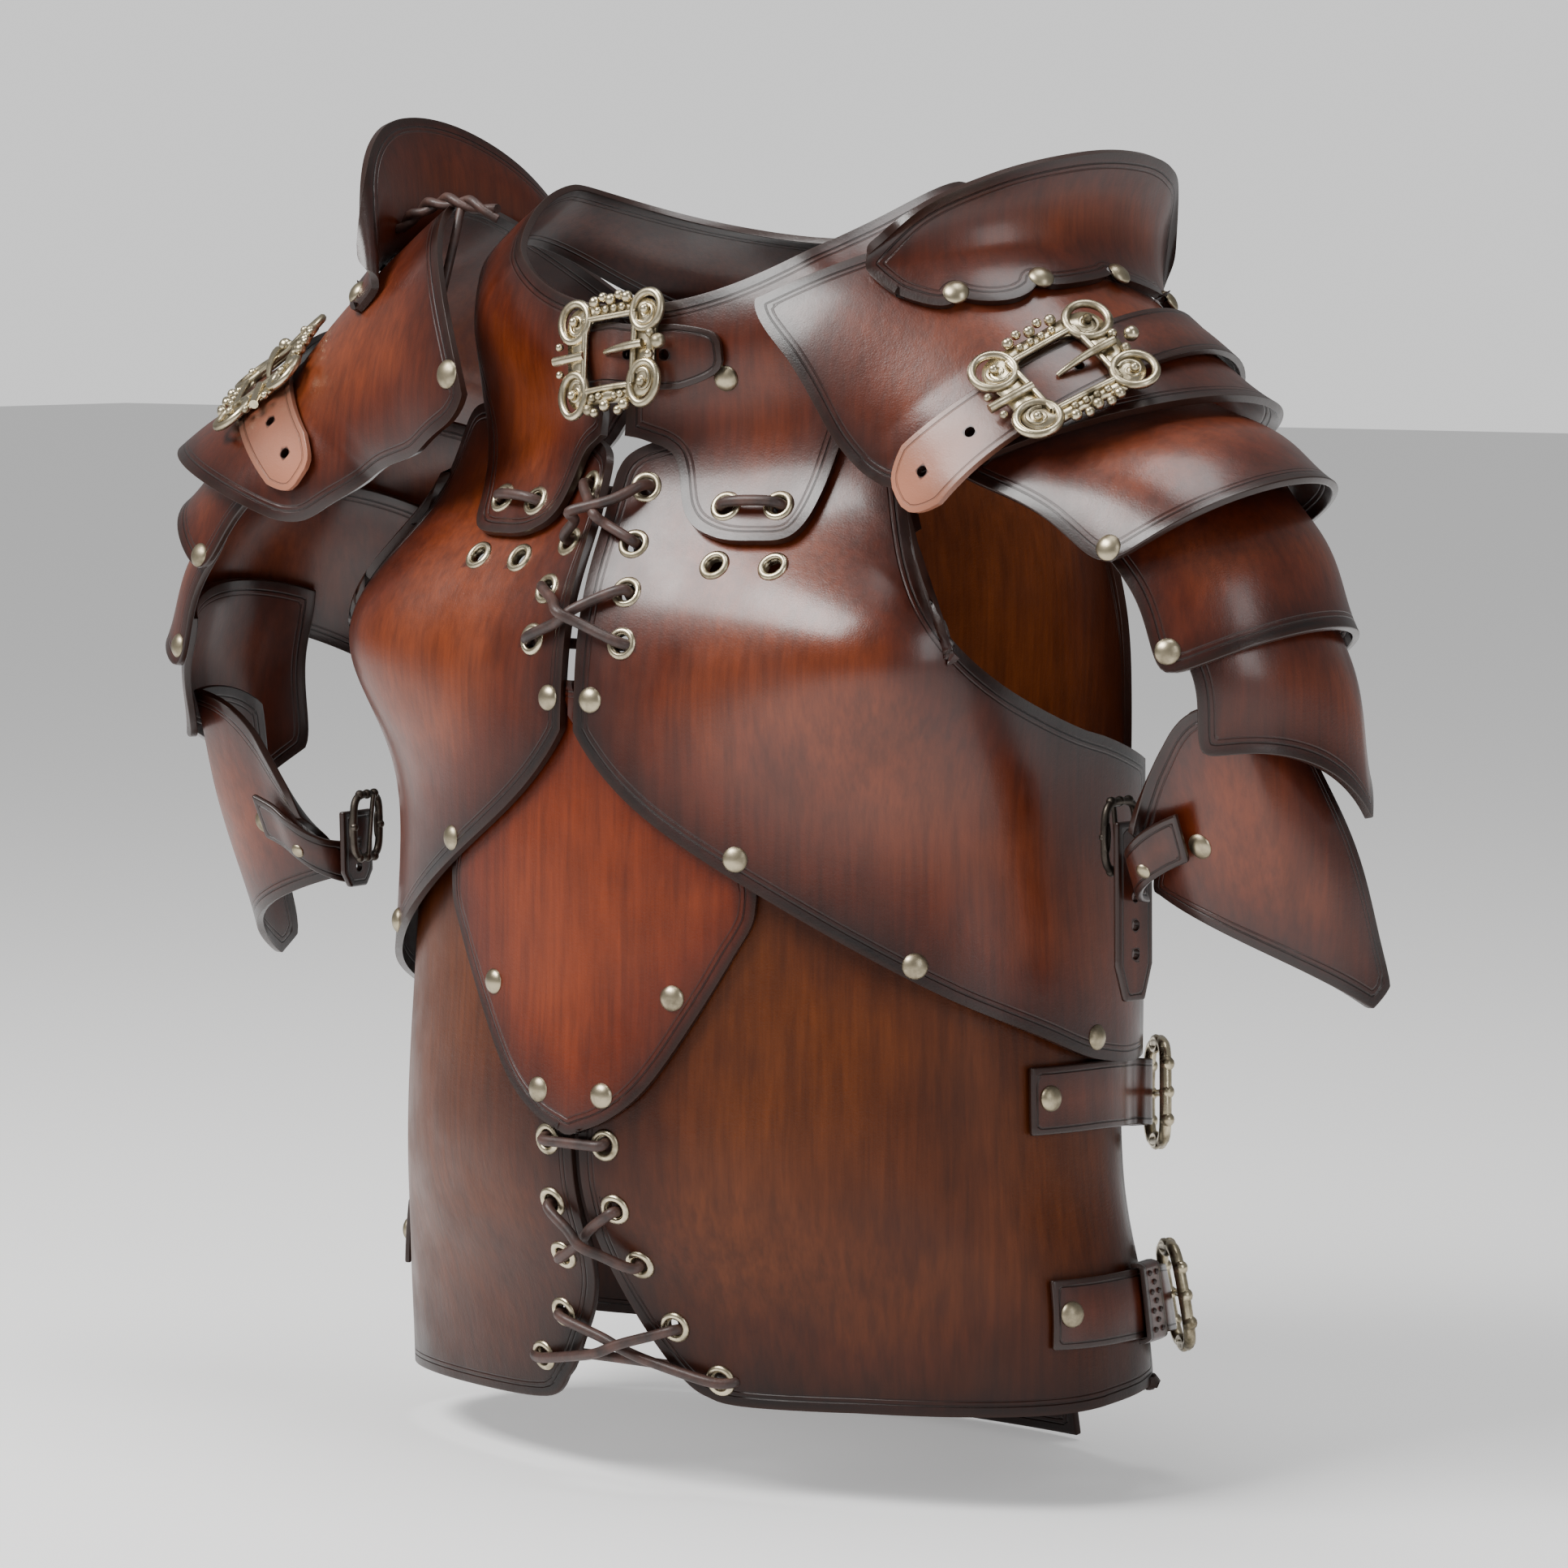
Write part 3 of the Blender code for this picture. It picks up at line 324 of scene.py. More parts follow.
# The order in which a lace passes its eyelets: side, row. It goes in and out by turns, and the last
# stretch of each pair of crossing stretches lies over the first.
CHEST_ROUTE = (
    (RIGHT, 0), (LEFT, 1), (LEFT, 2), (RIGHT, 3), (LEFT, 3), (RIGHT, 2), (RIGHT, 1), (LEFT, 0),
)
BELLY_ROUTE = (
    (RIGHT, 0), (LEFT, 0), (LEFT, 1), (RIGHT, 2), (RIGHT, 3), (LEFT, 4),
    (RIGHT, 4), (LEFT, 3), (LEFT, 2), (RIGHT, 1),
)

# Straps, along the form that carries them: turn, level, lift off the leather in metres
PAULDRON_STRAP = (
    (89.0, 3.72, 0.0), (64.0, 3.48, 0.0), (34.0, 3.30, 0.0), (-8.0, 3.14, 0.0), (-58.0, 3.10, 0.0),
)
GORGET_STRAP = ((-12.0, 7.86, -0.0010), (0.0, 7.88, 0.0), (12.0, 7.86, 0.0), (23.0, 7.82, -0.0010))
SIDE_STRAPS = {
    "upper": (
        (76.0, 2.46, -0.0012), (92.0, 2.45, 0.0), (111.0, 2.41, 0.0), (117.0, 2.39, 0.005),
        (123.0, 2.37, 0.009), (133.0, 2.33, 0.005), (145.0, 2.29, 0.0001),
    ),
    "lower": (
        (74.0, 1.07, -0.0012), (90.0, 1.07, 0.0), (106.0, 1.04, 0.0), (115.0, 1.00, 0.004),
        (123.0, 0.95, 0.007), (133.0, 0.92, 0.004), (145.0, 0.89, -0.0012),
    ),
}
SIDE_BUCKLE_PLACE = 0.66
# The arm strap passes round the front corner of the lowest lame, and its end hangs from a small buckle
# beside that corner. Shares of SLEEVE_REACH, SLEEVE_REACH and SLEEVE_DROP: reach, back, drop.
ARM_BAND = (
    (1.009, -0.184, 0.791), (0.970, -0.180, 0.803), (0.933, -0.180, 0.819), (0.899, -0.165, 0.836),
    (0.874, -0.133, 0.848), (0.861, -0.092, 0.853),
)
ARM_BAND_ASIDE = (0.0, 0.43, -0.90)
ARM_END_TOP = (0.845, -0.093, 0.780)
ARM_END_TIPS = {LEFT: (0.845, -0.089, 1.005), RIGHT: (0.845, -0.089, 0.885)}
ARM_END_ASIDE = (-0.10, -0.99, 0.0)
ARM_BUCKLE_SEAT = (0.832, -0.093, 0.800)
PAULDRON_BUCKLE_PLACE = 0.47
GORGET_BUCKLE_PLACE = 0.35


def table_at(table, share):
    """A row between the rows of a table, on a smooth curve through them; share runs from 0 to 1."""
    last = len(table) - 1
    place = share * last
    if place < 0:
        return [b + (c - b) * place for b, c in zip(table[0], table[1])]
    row = min(max(int(math.floor(place)), 0), last - 1)
    t = place - row
    before, start, end, after = (table[min(max(row + step, 0), last)] for step in (-1, 0, 1, 2))
    return [
        0.5 * (2 * b + (c - a) * t + (2 * a - 5 * b + 4 * c - d) * t * t + (3 * b - a - 3 * c + d) * t**3)
        for a, b, c, d in zip(before, start, end, after)
    ]


def mix(low, high, share):
    return low + (high - low) * share


def power(value, exponent):
    return math.copysign(abs(value) ** exponent, value)


def torso_point(turn, level):
    """A point of the torso form's bare surface."""
    front, side, back, width, ahead, behind, keel, rounding = table_at(
        TORSO_RINGS, level / (len(TORSO_RINGS) - 1)
    )
    sine, cosine = math.sin(math.radians(turn)), math.cos(math.radians(turn))
    facing = cosine > 0
    x = BODY_HALF_WIDTH * width * power(sine, 2 / (keel if facing else rounding))
    depth = FRONT_DEPTH * ahead if facing else BACK_DEPTH * behind
    y = -depth * power(cosine, 2 / (SIDE_ROUND if facing else rounding))
    z = mix(side, front if facing else back, abs(cosine) ** RING_SWAY) * BODY_LENGTH
    away = abs((turn + 180.0) % 360.0 - 180.0) / CHEST_FALL_TURN
    above = (level - CHEST_FALL_LEVEL) / CHEST_FALL_SPREAD
    y += CHEST_FALL * away * math.exp(1.0 - away - above**2)
    for hand in (LEFT, RIGHT):
        toward = math.radians(BUST_TURN * hand)
        away_x = x - BODY_HALF_WIDTH * math.sin(toward)
        away_y = y + FRONT_DEPTH * math.cos(toward)
        level_gap = (z + BUST_DROP) / BUST_RISE
        lift = BUST_LIFT * math.exp(-(away_x**2 + away_y**2) / BUST_SPREAD**2 - level_gap**2)
        x += lift * math.sin(toward)
        y -= lift * math.cos(toward)
    return Vector((x, y, z))


def shoulder_point(turn, level):
    """A point of the wearer's left shoulder form's bare surface."""
    reach, drop, tip, rise, girth = table_at(SHOULDER_ARCHES, level / (len(SHOULDER_ARCHES) - 1))
    up = Vector((math.sin(math.radians(tip)), 0.0, math.cos(math.radians(tip))))
    top = Vector((SHOULDER_REACH * reach, 0.0, SHOULDER_DROP * drop))
    angle = math.radians(turn)
    bow = up * (SHOULDER_GIRTH * rise * (math.cos(angle) - 1))
    fore = Vector((0.0, -SHOULDER_GIRTH * girth * math.sin(angle), 0.0))
    return top + bow + fore


def surface_normal(surface, turn, level):
    across = surface(turn + TURN_STEP, level) - surface(turn - TURN_STEP, level)
    upward = surface(turn, level + LEVEL_STEP) - surface(turn, level - LEVEL_STEP)
    return across.cross(upward).normalized()


def on_torso(turn, level, proud=0.0):
    """A place on the torso form, moved out by proud."""
    return torso_point(turn, level) + surface_normal(torso_point, turn, level) * proud


def on_shoulder(turn, level, proud=0.0):
    """A place on the wearer's left shoulder form, moved out by proud."""
    return shoulder_point(turn, level) + surface_normal(shoulder_point, turn, level) * proud


def mirrored(point, side):
    return Vector((point.x * side, point.y, point.z))


def at_shoulder(point, side):
    """A point of the wearer's left shoulder, or its like on the right, which hangs further out."""
    if side == LEFT:
        return point
    return Vector((-point.x - RIGHT_SHOULDER_OUT, point.y, point.z + RIGHT_SHOULDER_UP))


def cap_slide(side):
    return RIGHT_CAP_SLIDE if side == RIGHT else 0.0


def cap_proud(level, side):
    """How far the cap stands off the shoulder form: more over the gorget, and where it flares at the arm."""
    place = level - cap_slide(side)
    flare = CAP_FLARE * max((place - CAP_FLARE_LEVEL) / (CAP_EDGES[LEFT][-1][1] - CAP_FLARE_LEVEL), 0.0)
    return LAYER + CAP_INNER_LIFT * max(1.0 - place / CAP_LIFT_LEVELS, 0.0) + flare


def cap_point(along, across, side):
    """A point on the outside of a shoulder cap: along runs out from the neck, across from front to rear."""
    front, front_level, rear, rear_level, arch = table_at(CAP_EDGES[side], along)
    rise = math.sin(math.pi * across ** CAP_ARCH_BENDS[side]) ** CAP_ARCH_FULLNESS
    level = mix(front_level, rear_level, across) + arch * rise + cap_slide(side)
    return at_shoulder(on_shoulder(mix(front, rear, across), level, cap_proud(level, side)), side)


def guard_point(along, across, side):
    """A point on the outside of a standing guard: across runs from the flange's edge up to the top."""
    turn, level, share, flange = table_at(GUARD_FEET[side], along)
    outward, up = table_at(GUARD_SECTION, across)
    foot = on_shoulder(turn, level, GUARD_SEAT + cap_proud(level, side))
    further = level + LEVEL_STEP
    step = on_shoulder(turn, further, GUARD_SEAT + cap_proud(further, side)) - foot
    reach = GUARD_FLANGE * outward * (flange if outward > 0 else 1.0)
    laid_level = level + LEVEL_STEP * reach / step.length
    laid = on_shoulder(turn, laid_level, GUARD_SEAT + cap_proud(laid_level, side))
    upright = foot + Vector((step.x, step.y, 0.0)).normalized() * (GUARD_FLANGE * outward)
    point = upright.lerp(laid, max(1.0 - up / FLANGE_TOP, 0.0))
    point.z += GUARD_HEIGHT * share * up
    return at_shoulder(point, side)


def lame_edge(row, turn, side):
    """A point of a lame's lower edge."""
    reach, back, drop, radius, slope, front, _, front_dip, tip_dip, tip_turn, sharpness, flare, _, _ = row
    angle = math.radians(turn)
    size = SLEEVE_RADIUS * radius
    dip = front_dip * max(turn / front, 0.0) ** 3
    tip = max(1.0 - abs(turn - tip_turn) / TIP_SPREAD, 0.0) ** sharpness
    dip += tip_dip * tip
    out, down = (RIGHT_SLEEVE_OUT, RIGHT_SLEEVE_DOWN) if side == RIGHT else (0.0, 0.0)
    return Vector(
        (
            SLEEVE_REACH * reach + size * SLEEVE_FLATNESS * math.cos(angle) + out
            + SLEEVE_RADIUS * flare * tip,
            SLEEVE_REACH * back - size * math.sin(angle),
            -SLEEVE_DROP * (drop + dip) + size * slope * math.cos(angle) - down,
        )
    )


def lame_point(index, turn, across, side):
    """A point on the outside of a lame: across is 0 where it is tucked in and 1 at its lower edge."""
    row = LAMES[index]
    seated = max(1.0 - abs(turn - row[SEAT]) / SEAT_SPREAD, 0.0) ** SEAT_FALL
    if index == 0:
        room = mix(FIRST_LAME_ROOM, FIRST_LAME_SEATS[side], seated)
        top = on_shoulder(turn, LAME_TOP_LEVEL + cap_slide(side), -room)
        if side == RIGHT:
            top += Vector((RIGHT_SHOULDER_OUT, 0.0, RIGHT_SHOULDER_UP))
    else:
        inner = lame_point(index - 1, turn, LAME_TUCK, side)
        along = lame_point(index - 1, turn + 2 * TURN_STEP, LAME_TUCK, side) - inner
        down = lame_point(index - 1, turn, LAME_TUCK + SHORT_STEP, side) - inner
        inward = down.cross(along).normalized()
        room = mix(LAME_ROOM + SLEEVE_RADIUS * row[INSET], LAME_SEATS[index], seated)
        top = inner + inward * (LEATHER + room)
    edge = lame_edge(row, turn, side)
    bulge = Vector(LAME_BULGE_TOWARD) * (LAME_BULGE * math.sin(math.pi * across) ** 2)
    return top.lerp(edge, across) + bulge


def beside(form, turn, level, proud, toward, aside, distance_along, distance_aside):
    """The point that lies so far along and aside of a place on a form, proud(level) off the form."""
    height = proud(level)
    half_turn = TURN_STEP / 2
    by_turn = (form(turn + half_turn, level, height) - form(turn - half_turn, level, height)) / TURN_STEP
    by_level = form(turn, level + SHORT_STEP, height) - form(turn, level - SHORT_STEP, height)
    by_level /= 2 * SHORT_STEP
    wanted = toward * distance_along + aside * distance_aside
    tt, tl, ll = by_turn.dot(by_turn), by_turn.dot(by_level), by_level.dot(by_level)
    wt, wl = wanted.dot(by_turn), wanted.dot(by_level)
    fall = tt * ll - tl * tl
    new_level = level + (wl * tt - wt * tl) / fall
    return form(turn + (wt * ll - wl * tl) / fall, new_level, proud(new_level))


def strap_frame(form, route, along, slide):
    """Turn, level and lift of a place of a strap, and the directions along it and aside."""
    turn, level, lift = table_at(route, along)
    ahead_turn, ahead_level, _ = table_at(route, min(along + SHORT_STEP, 1.0))
    after_turn, after_level, _ = table_at(route, max(along - SHORT_STEP, 0.0))
    toward = form(ahead_turn, ahead_level + slide) - form(after_turn, after_level + slide)
    toward.normalize()
    normal = surface_normal(form, turn, level + slide)
    return turn, level + slide, lift, toward, normal.cross(toward).normalized()


def lace_points(eyelets, route, proud):
    """The closed path of a lace that passes the eyelets by turns outward and inward."""
    outside = proud + LACE_WIRE + LACE_LIFT
    inside = proud - LEATHER - LACE_WIRE - LACE_LIFT
    points = []
    for order, (side, row) in enumerate(route):
        turn, level = eyelets[row]
        outward = order % 2 == 0
        heights = (inside, outside) if outward else (outside, inside)
        for height in heights:
            points.append(mirrored(on_torso(turn, level, height), side))
        next_side, next_row = route[(order + 1) % len(route)]
        if outward and next_side != side:
            next_turn, next_level = eyelets[next_row]
            over = 2 * LACE_WIRE + LACE_LIFT if order >= len(route) // 2 else 0.0
            for share, bend in LACE_BENDS:
                middle_turn = mix(turn * side, next_turn * next_side, share)
                middle_level = mix(level, next_level, share)
                points.append(on_torso(middle_turn, middle_level, outside + over * bend))
    return points


def at_sleeve(row, side):
    """A point by the arm, from its shares of SLEEVE_REACH and SLEEVE_DROP."""
    reach, back, drop = row
    out, down = (RIGHT_SLEEVE_OUT, RIGHT_SLEEVE_DOWN) if side == RIGHT else (0.0, 0.0)
    return Vector((SLEEVE_REACH * reach + out, SLEEVE_REACH * back, -SLEEVE_DROP * drop - down))


def arm_band_point(along, across, side):
    """A point on the outside of the band round the lowest lame's front corner."""
    middle = at_sleeve(table_at(ARM_BAND, along), side)
    return mirrored(middle + Vector(ARM_BAND_ASIDE) * (ARM_STRAP_WIDTH * (across - 0.5)), side)


def arm_end_point(along, across, side):
    """A point on the outside of the strap end that hangs from the arm buckle."""
    middle = at_sleeve(ARM_END_TOP, side).lerp(at_sleeve(ARM_END_TIPS[side], side), along)
    width = ARM_STRAP_WIDTH
    if along > ARM_TIP_START:
        width *= mix(1.0, ARM_TIP_SHARE, (along - ARM_TIP_START) / (1.0 - ARM_TIP_START))
    return mirrored(middle + Vector(ARM_END_ASIDE) * (width * (across - 0.5)), side)


# How the finished leather's edges and holes are cut and how its face swells, in metres
EDGE_ROUNDING = 0.0008
STRAP_HOLE = 0.0042
SWELL = 0.00035
SWELL_SCALE = 16.0
RIM_NAME = "rim"
GLOW_NAME = "glow"
TIP_HIGHLIGHT_NAME = "tip"
EDGE_ANGLE = 0.87
CORNER_SHARPNESS = 9
RIM_SPACING = 0.0015
RIM_BATCH = 400
STRAP_CUTTER_LENGTH = 0.009


def add_piece(name, mesh, *finishes):
    piece = bpy.data.objects.new(name, mesh)
    mesh.materials.clear()
    for finish in finishes:
        mesh.materials.append(finish)
    bpy.context.scene.collection.objects.link(piece)
    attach(piece, "root")
    return piece


def settled(name, mesh, modifiers):
    """The mesh after its modifiers, each given as kind and settings."""
    rough = bpy.data.objects.new(name, mesh)
    bpy.context.scene.collection.objects.link(rough)
    for kind, settings in modifiers:
        step = rough.modifiers.new(kind.lower(), kind)
        for key, value in settings.items():
            setattr(step, key, value)
    graph = bpy.context.evaluated_depsgraph_get()
    graph.update()
    done = bpy.data.meshes.new_from_object(
        rough.evaluated_get(graph), preserve_all_data_layers=True, depsgraph=graph,
    )
    bpy.data.objects.remove(rough, do_unlink=True)
    done.name = name
    return done


def joined(name, meshes):
    """One mesh of several, with their material numbers kept."""
    whole = bmesh.new()
    for mesh in meshes:
        whole.from_mesh(mesh)
        bpy.data.meshes.remove(mesh)
    made = bpy.data.meshes.new(name)
    whole.to_mesh(made)
    whole.free()
    return made


def corner_cut(along, across, cuts):
    """Moves a place of the unit square inwards near its corners. Cuts are the shares at the four corners:
    start and end of along at the start of across, then the same at its end."""
    left, low = 1.0 - along, 1.0 - across
    weights = (left * low, along * low, left * across, along * across)
    cut = sum(weight * share for weight, share in zip(weights, cuts))
    s, t = 2 * along - 1, 2 * across - 1
    nearness = [abs(place) ** CORNER_SHARPNESS for place in (s, t)]
    pull = cut * nearness[0] * nearness[1]
    return 0.5 + 0.5 * s * (1 - pull), 0.5 + 0.5 * t * (1 - pull)


def edge_samples(loops, spacing):
    points = []
    for start, end in loops:
        count = max(int((end - start).length / spacing), 1)
        points += [start.lerp(end, step / count) for step in range(count)]
    return np.array(points)


def leather_skin(name, place, steps, finishes, flipped=False, thickness=LEATHER, cuts=None, spread=0.030,
                 holes=None, swell=SWELL, dress=None):
    """A finished wall of leather with burnished edges. The wall's rim attribute is the distance to its
    edge in metres, and its glow runs from 0 at the edge to 1 in the middle."""
    skin = bmesh.new()
    bmesh.ops.create_grid(skin, x_segments=steps[0], y_segments=steps[1], size=0.5)
    for corner in skin.verts:
        along, across = corner.co.x + 0.5, corner.co.y + 0.5
        if cuts:
            along, across = corner_cut(along, across, cuts)
        corner.co = place(along, across)
    skin.normal_update()
    if flipped:
        bmesh.ops.reverse_faces(skin, faces=skin.faces)
    if swell:
        for corner in skin.verts:
            corner.co += corner.normal * (swell * noise.noise(corner.co * SWELL_SCALE))
    border = [(edge.verts[0].co, edge.verts[1].co) for edge in skin.edges if edge.is_boundary]
    samples = edge_samples(border, RIM_SPACING)
    corners = np.array([corner.co for corner in skin.verts])
    rim = np.empty(len(corners))
    for start in range(0, len(corners), RIM_BATCH):
        gaps = corners[start:start + RIM_BATCH, None, :] - samples[None, :, :]
        rim[start:start + RIM_BATCH] = np.sqrt((gaps**2).sum(axis=2).min(axis=1))
    mesh = bpy.data.meshes.new(name)
    skin.to_mesh(mesh)
    skin.free()
    mesh.shade_smooth()
    # The tip attribute marks where a painted highlight lightens the leather; it is 0 on pieces without one
    tips = np.array([dress(Vector(corner)) for corner in corners]) if dress else np.zeros(len(corners))
    for title, values in ((RIM_NAME, rim), (GLOW_NAME, 1.0 - np.exp(-rim / spread)), (TIP_HIGHLIGHT_NAME, tips)):
        mesh.attributes.new(title, "FLOAT", "POINT").data.foreach_set("value", values)
    for _ in range(3):
        mesh.materials.append(finishes[0])
    work = [
        ("SOLIDIFY", {"thickness": thickness, "offset": -1.0, "material_offset": 1, "material_offset_rim": 2}),
        ("BEVEL", {"width": EDGE_ROUNDING, "segments": 2, "limit_method": "ANGLE", "angle_limit": EDGE_ANGLE,
                   "material": -1, "profile": 0.5}),
    ]
    if holes:
        work.append(("BOOLEAN", {"operation": "DIFFERENCE", "solver": "EXACT", "object": holes}))
    work.append(("WEIGHTED_NORMAL", {"keep_sharp": True}))
    done = settled(name, mesh, work)
    if holes:
        bpy.data.objects.remove(holes, do_unlink=True)
    return add_piece(name, done, *finishes)


def cutter_of(name, places, radius, depth):
    """A cutter for round holes; leather_skin takes it away once they are cut."""
    drill = bmesh.new()
    for place in places:
        bmesh.ops.create_cone(
            drill, cap_ends=True, segments=24, radius1=radius, radius2=radius, depth=depth, matrix=place,
        )
    mesh = bpy.data.meshes.new(name)
    drill.to_mesh(mesh)
    drill.free()
    cutter = bpy.data.objects.new(name, mesh)
    bpy.context.scene.collection.objects.link(cutter)
    return cutter


def drill_for(name, eyelets, side):
    places = [seat_on_torso(turn, level, 0.0, side) for turn, level in eyelets]
    return cutter_of(name, places, EYELET_HOLE / 2, CUTTER_LENGTH)


def seat(point, normal):
    """The place of a fitting that stands on a point, with its own Z along the normal."""
    return Matrix.Translation(point) @ normal.to_track_quat("Z", "Y").to_matrix().to_4x4()


def seat_on_torso(turn, level, proud, side):
    normal = mirrored(surface_normal(torso_point, turn, level), side)
    return seat(mirrored(on_torso(turn, level, proud), side), normal)


def seat_between(place, along, turned, across=0.5, lift=0.0):
    """The seat of a fitting on a skin that place(along, across) lays."""
    point = place(along, across)
    ahead = place(along + 0.01, across) - place(along - 0.01, across)
    over = place(along, across + 0.05) - place(along, across - 0.05)
    normal = ahead.cross(over).normalized() * (-1.0 if turned else 1.0)
    return seat(point + normal * lift, normal)


def lathe(profile, places, segments=28):
    """A mesh of turned fittings: the profile is a list of radius and height, from the middle out."""
    turned = bmesh.new()
    line = [turned.verts.new((radius, 0.0, height)) for radius, height in profile]
    edges = [turned.edges.new(pair) for pair in zip(line, line[1:])]
    bmesh.ops.spin(
        turned, geom=line + edges, cent=(0, 0, 0), axis=(0, 0, 1), angle=2 * math.pi, steps=segments,
        use_merge=True, use_duplicate=False,
    )
    bmesh.ops.remove_doubles(turned, verts=turned.verts, dist=1e-6)
    bmesh.ops.recalc_face_normals(turned, faces=turned.faces)
    shape = bpy.data.meshes.new("turned")
    turned.to_mesh(shape)
    turned.free()
    whole = bmesh.new()
    for place in places:
        start = len(whole.verts)
        whole.from_mesh(shape)
        whole.verts.ensure_lookup_table()
        bmesh.ops.transform(whole, matrix=place, verts=whole.verts[start:])
    made = bpy.data.meshes.new("fittings")
    whole.to_mesh(made)
    whole.free()
    bpy.data.meshes.remove(shape)
    made.shade_smooth()
    return made


# Profiles of the small fittings: radius, height, in metres
RIVET = (
    (0.0, 0.0024), (0.0012, 0.0023), (0.0024, 0.0020), (0.0035, 0.0015), (0.0043, 0.0009), (0.0049, 0.0002),
    (0.0050, -0.0004), (0.0046, -0.0010), (0.0016, -0.0010), (0.0016, -0.0034), (0.0, -0.0034),
)
EYELET = (
    (0.0034, -0.0032), (0.0034, 0.0001), (0.0037, 0.0008), (0.0044, 0.0012), (0.0053, 0.0011),
    (0.0060, 0.0006), (0.0063, -0.0001), (0.0062, -0.0004), (0.0044, -0.0004), (0.0040, -0.0010),
    (0.0038, -0.0032), (0.0034, -0.0032),
)


def rod(name, points, radius, closed=False, radii=None, around=4, smooth=3):
    """A round bar or cord along the points, as a mesh; radii are shares of the radius, point by point."""
    path = bpy.data.curves.new(name, "CURVE")
    path.dimensions = "3D"
    path.bevel_depth = radius
    path.bevel_resolution = around
    path.resolution_u = smooth
    path.use_fill_caps = not closed
    spline = path.splines.new("NURBS" if smooth > 1 else "POLY")
    spline.points.add(len(points) - 1)
    for index, point in enumerate(points):
        spline.points[index].co = (*point, 1.0)
        if radii:
            spline.points[index].radius = radii[index]
    spline.order_u = 4
    spline.use_cyclic_u = closed
    spline.use_endpoint_u = not closed
    carrier = bpy.data.objects.new(name, path)
    bpy.context.scene.collection.objects.link(carrier)
    graph = bpy.context.evaluated_depsgraph_get()
    graph.update()
    mesh = bpy.data.meshes.new_from_object(carrier.evaluated_get(graph), depsgraph=graph)
    bpy.data.objects.remove(carrier, do_unlink=True)
    mesh.shade_smooth()
    return mesh


# Materials

# The two colour inputs of Blender's Mix node
MIX_COLOURS = (6, 7)
# Stops of the ramps that darken and lighten a colour by its grain: place, tint
FIBRE_TINTS = ((0.36, (0.42, 0.36, 0.34)), (0.62, (1.22, 1.2, 1.15)))
FLECK_TINTS = ((0.35, (0.5, 0.42, 0.4)), (0.65, (1.25, 1.2, 1.2)))
CLOUD_TINTS = ((0.3, (0.45, 0.4, 0.38)), (0.7, (1.2, 1.15, 1.1)))
GROOVE_COLOUR = (0.012, 0.004, 0.002, 1.0)
BURNT_COLOUR = (0.020, 0.006, 0.003, 1.0)
# Pale colour of the painted highlight that lightens the tips of the pauldron straps
TIP_HIGHLIGHT_COLOUR = (0.50, 0.20, 0.12, 1.0)


def start_finish(name):
    made = bpy.data.materials.new(name)
    made.use_nodes = True
    return made, made.node_tree, made.node_tree.nodes["Principled BSDF"]


def link(tree, source, target):
    if isinstance(source, (int, float, tuple)):
        target.default_value = source
    else:
        tree.links.new(source, target)


def sums(tree, operation, *terms):
    node = tree.nodes.new("ShaderNodeMath")
    node.operation = operation
    for place, term in enumerate(terms):
        link(tree, term, node.inputs[place])
    return node.outputs[0]


def spread_over(tree, value, low, high, to_low=0.0, to_high=1.0):
    node = tree.nodes.new("ShaderNodeMapRange")
    node.interpolation_type = "SMOOTHSTEP"
    link(tree, value, node.inputs["Value"])
    for key, number in (("From Min", low), ("From Max", high), ("To Min", to_low), ("To Max", to_high)):
        node.inputs[key].default_value = number
    return node.outputs["Result"]


def tint(tree, share, first, second, mode="MIX"):
    node = tree.nodes.new("ShaderNodeMix")
    node.data_type = "RGBA"
    node.blend_type = mode
    link(tree, share, node.inputs["Factor"])
    for socket, colour in zip(MIX_COLOURS, (first, second)):
        link(tree, colour, node.inputs[socket])
    return node.outputs[2]


def grain(tree, scale, detail=4.0, roughness=0.55, stretch=(1.0, 1.0, 1.0)):
    coords = tree.nodes.new("ShaderNodeTexCoord")
    mapping = tree.nodes.new("ShaderNodeMapping")
    mapping.inputs["Scale"].default_value = stretch
    tree.links.new(coords.outputs["Object"], mapping.inputs["Vector"])
    texture = tree.nodes.new("ShaderNodeTexNoise")
    tree.links.new(mapping.outputs[0], texture.inputs["Vector"])
    texture.inputs["Scale"].default_value = scale
    texture.inputs["Detail"].default_value = detail
    texture.inputs["Roughness"].default_value = roughness
    return texture.outputs["Fac"]


def pebbles(tree, scale):
    coords = tree.nodes.new("ShaderNodeTexCoord")
    texture = tree.nodes.new("ShaderNodeTexVoronoi")
    texture.feature = "DISTANCE_TO_EDGE"
    tree.links.new(coords.outputs["Object"], texture.inputs["Vector"])
    texture.inputs["Scale"].default_value = scale
    return texture.outputs["Distance"]


def measure(tree, name):
    node = tree.nodes.new("ShaderNodeAttribute")
    node.attribute_name = name
    return node.outputs["Fac"]


def shades(tree, value, *stops):
    node = tree.nodes.new("ShaderNodeValToRGB")
    ramp = node.color_ramp
    while len(ramp.elements) < len(stops):
        ramp.elements.new(0.5)
    for element, (place, colour) in zip(ramp.elements, stops):
        element.position = place
        element.color = (*colour, 1.0)
    link(tree, value, node.inputs["Fac"])
    return node.outputs["Color"]


def relief(tree, height, depth, strength=1.0, below=None):
    node = tree.nodes.new("ShaderNodeBump")
    node.inputs["Strength"].default_value = strength
    node.inputs["Distance"].default_value = depth
    link(tree, height, node.inputs["Height"])
    if below is not None:
        tree.links.new(below, node.inputs["Normal"])
    return node.outputs["Normal"]


GROOVES = (0.0042, 0.0062)
GROOVE_HALF_WIDTH = 0.00055


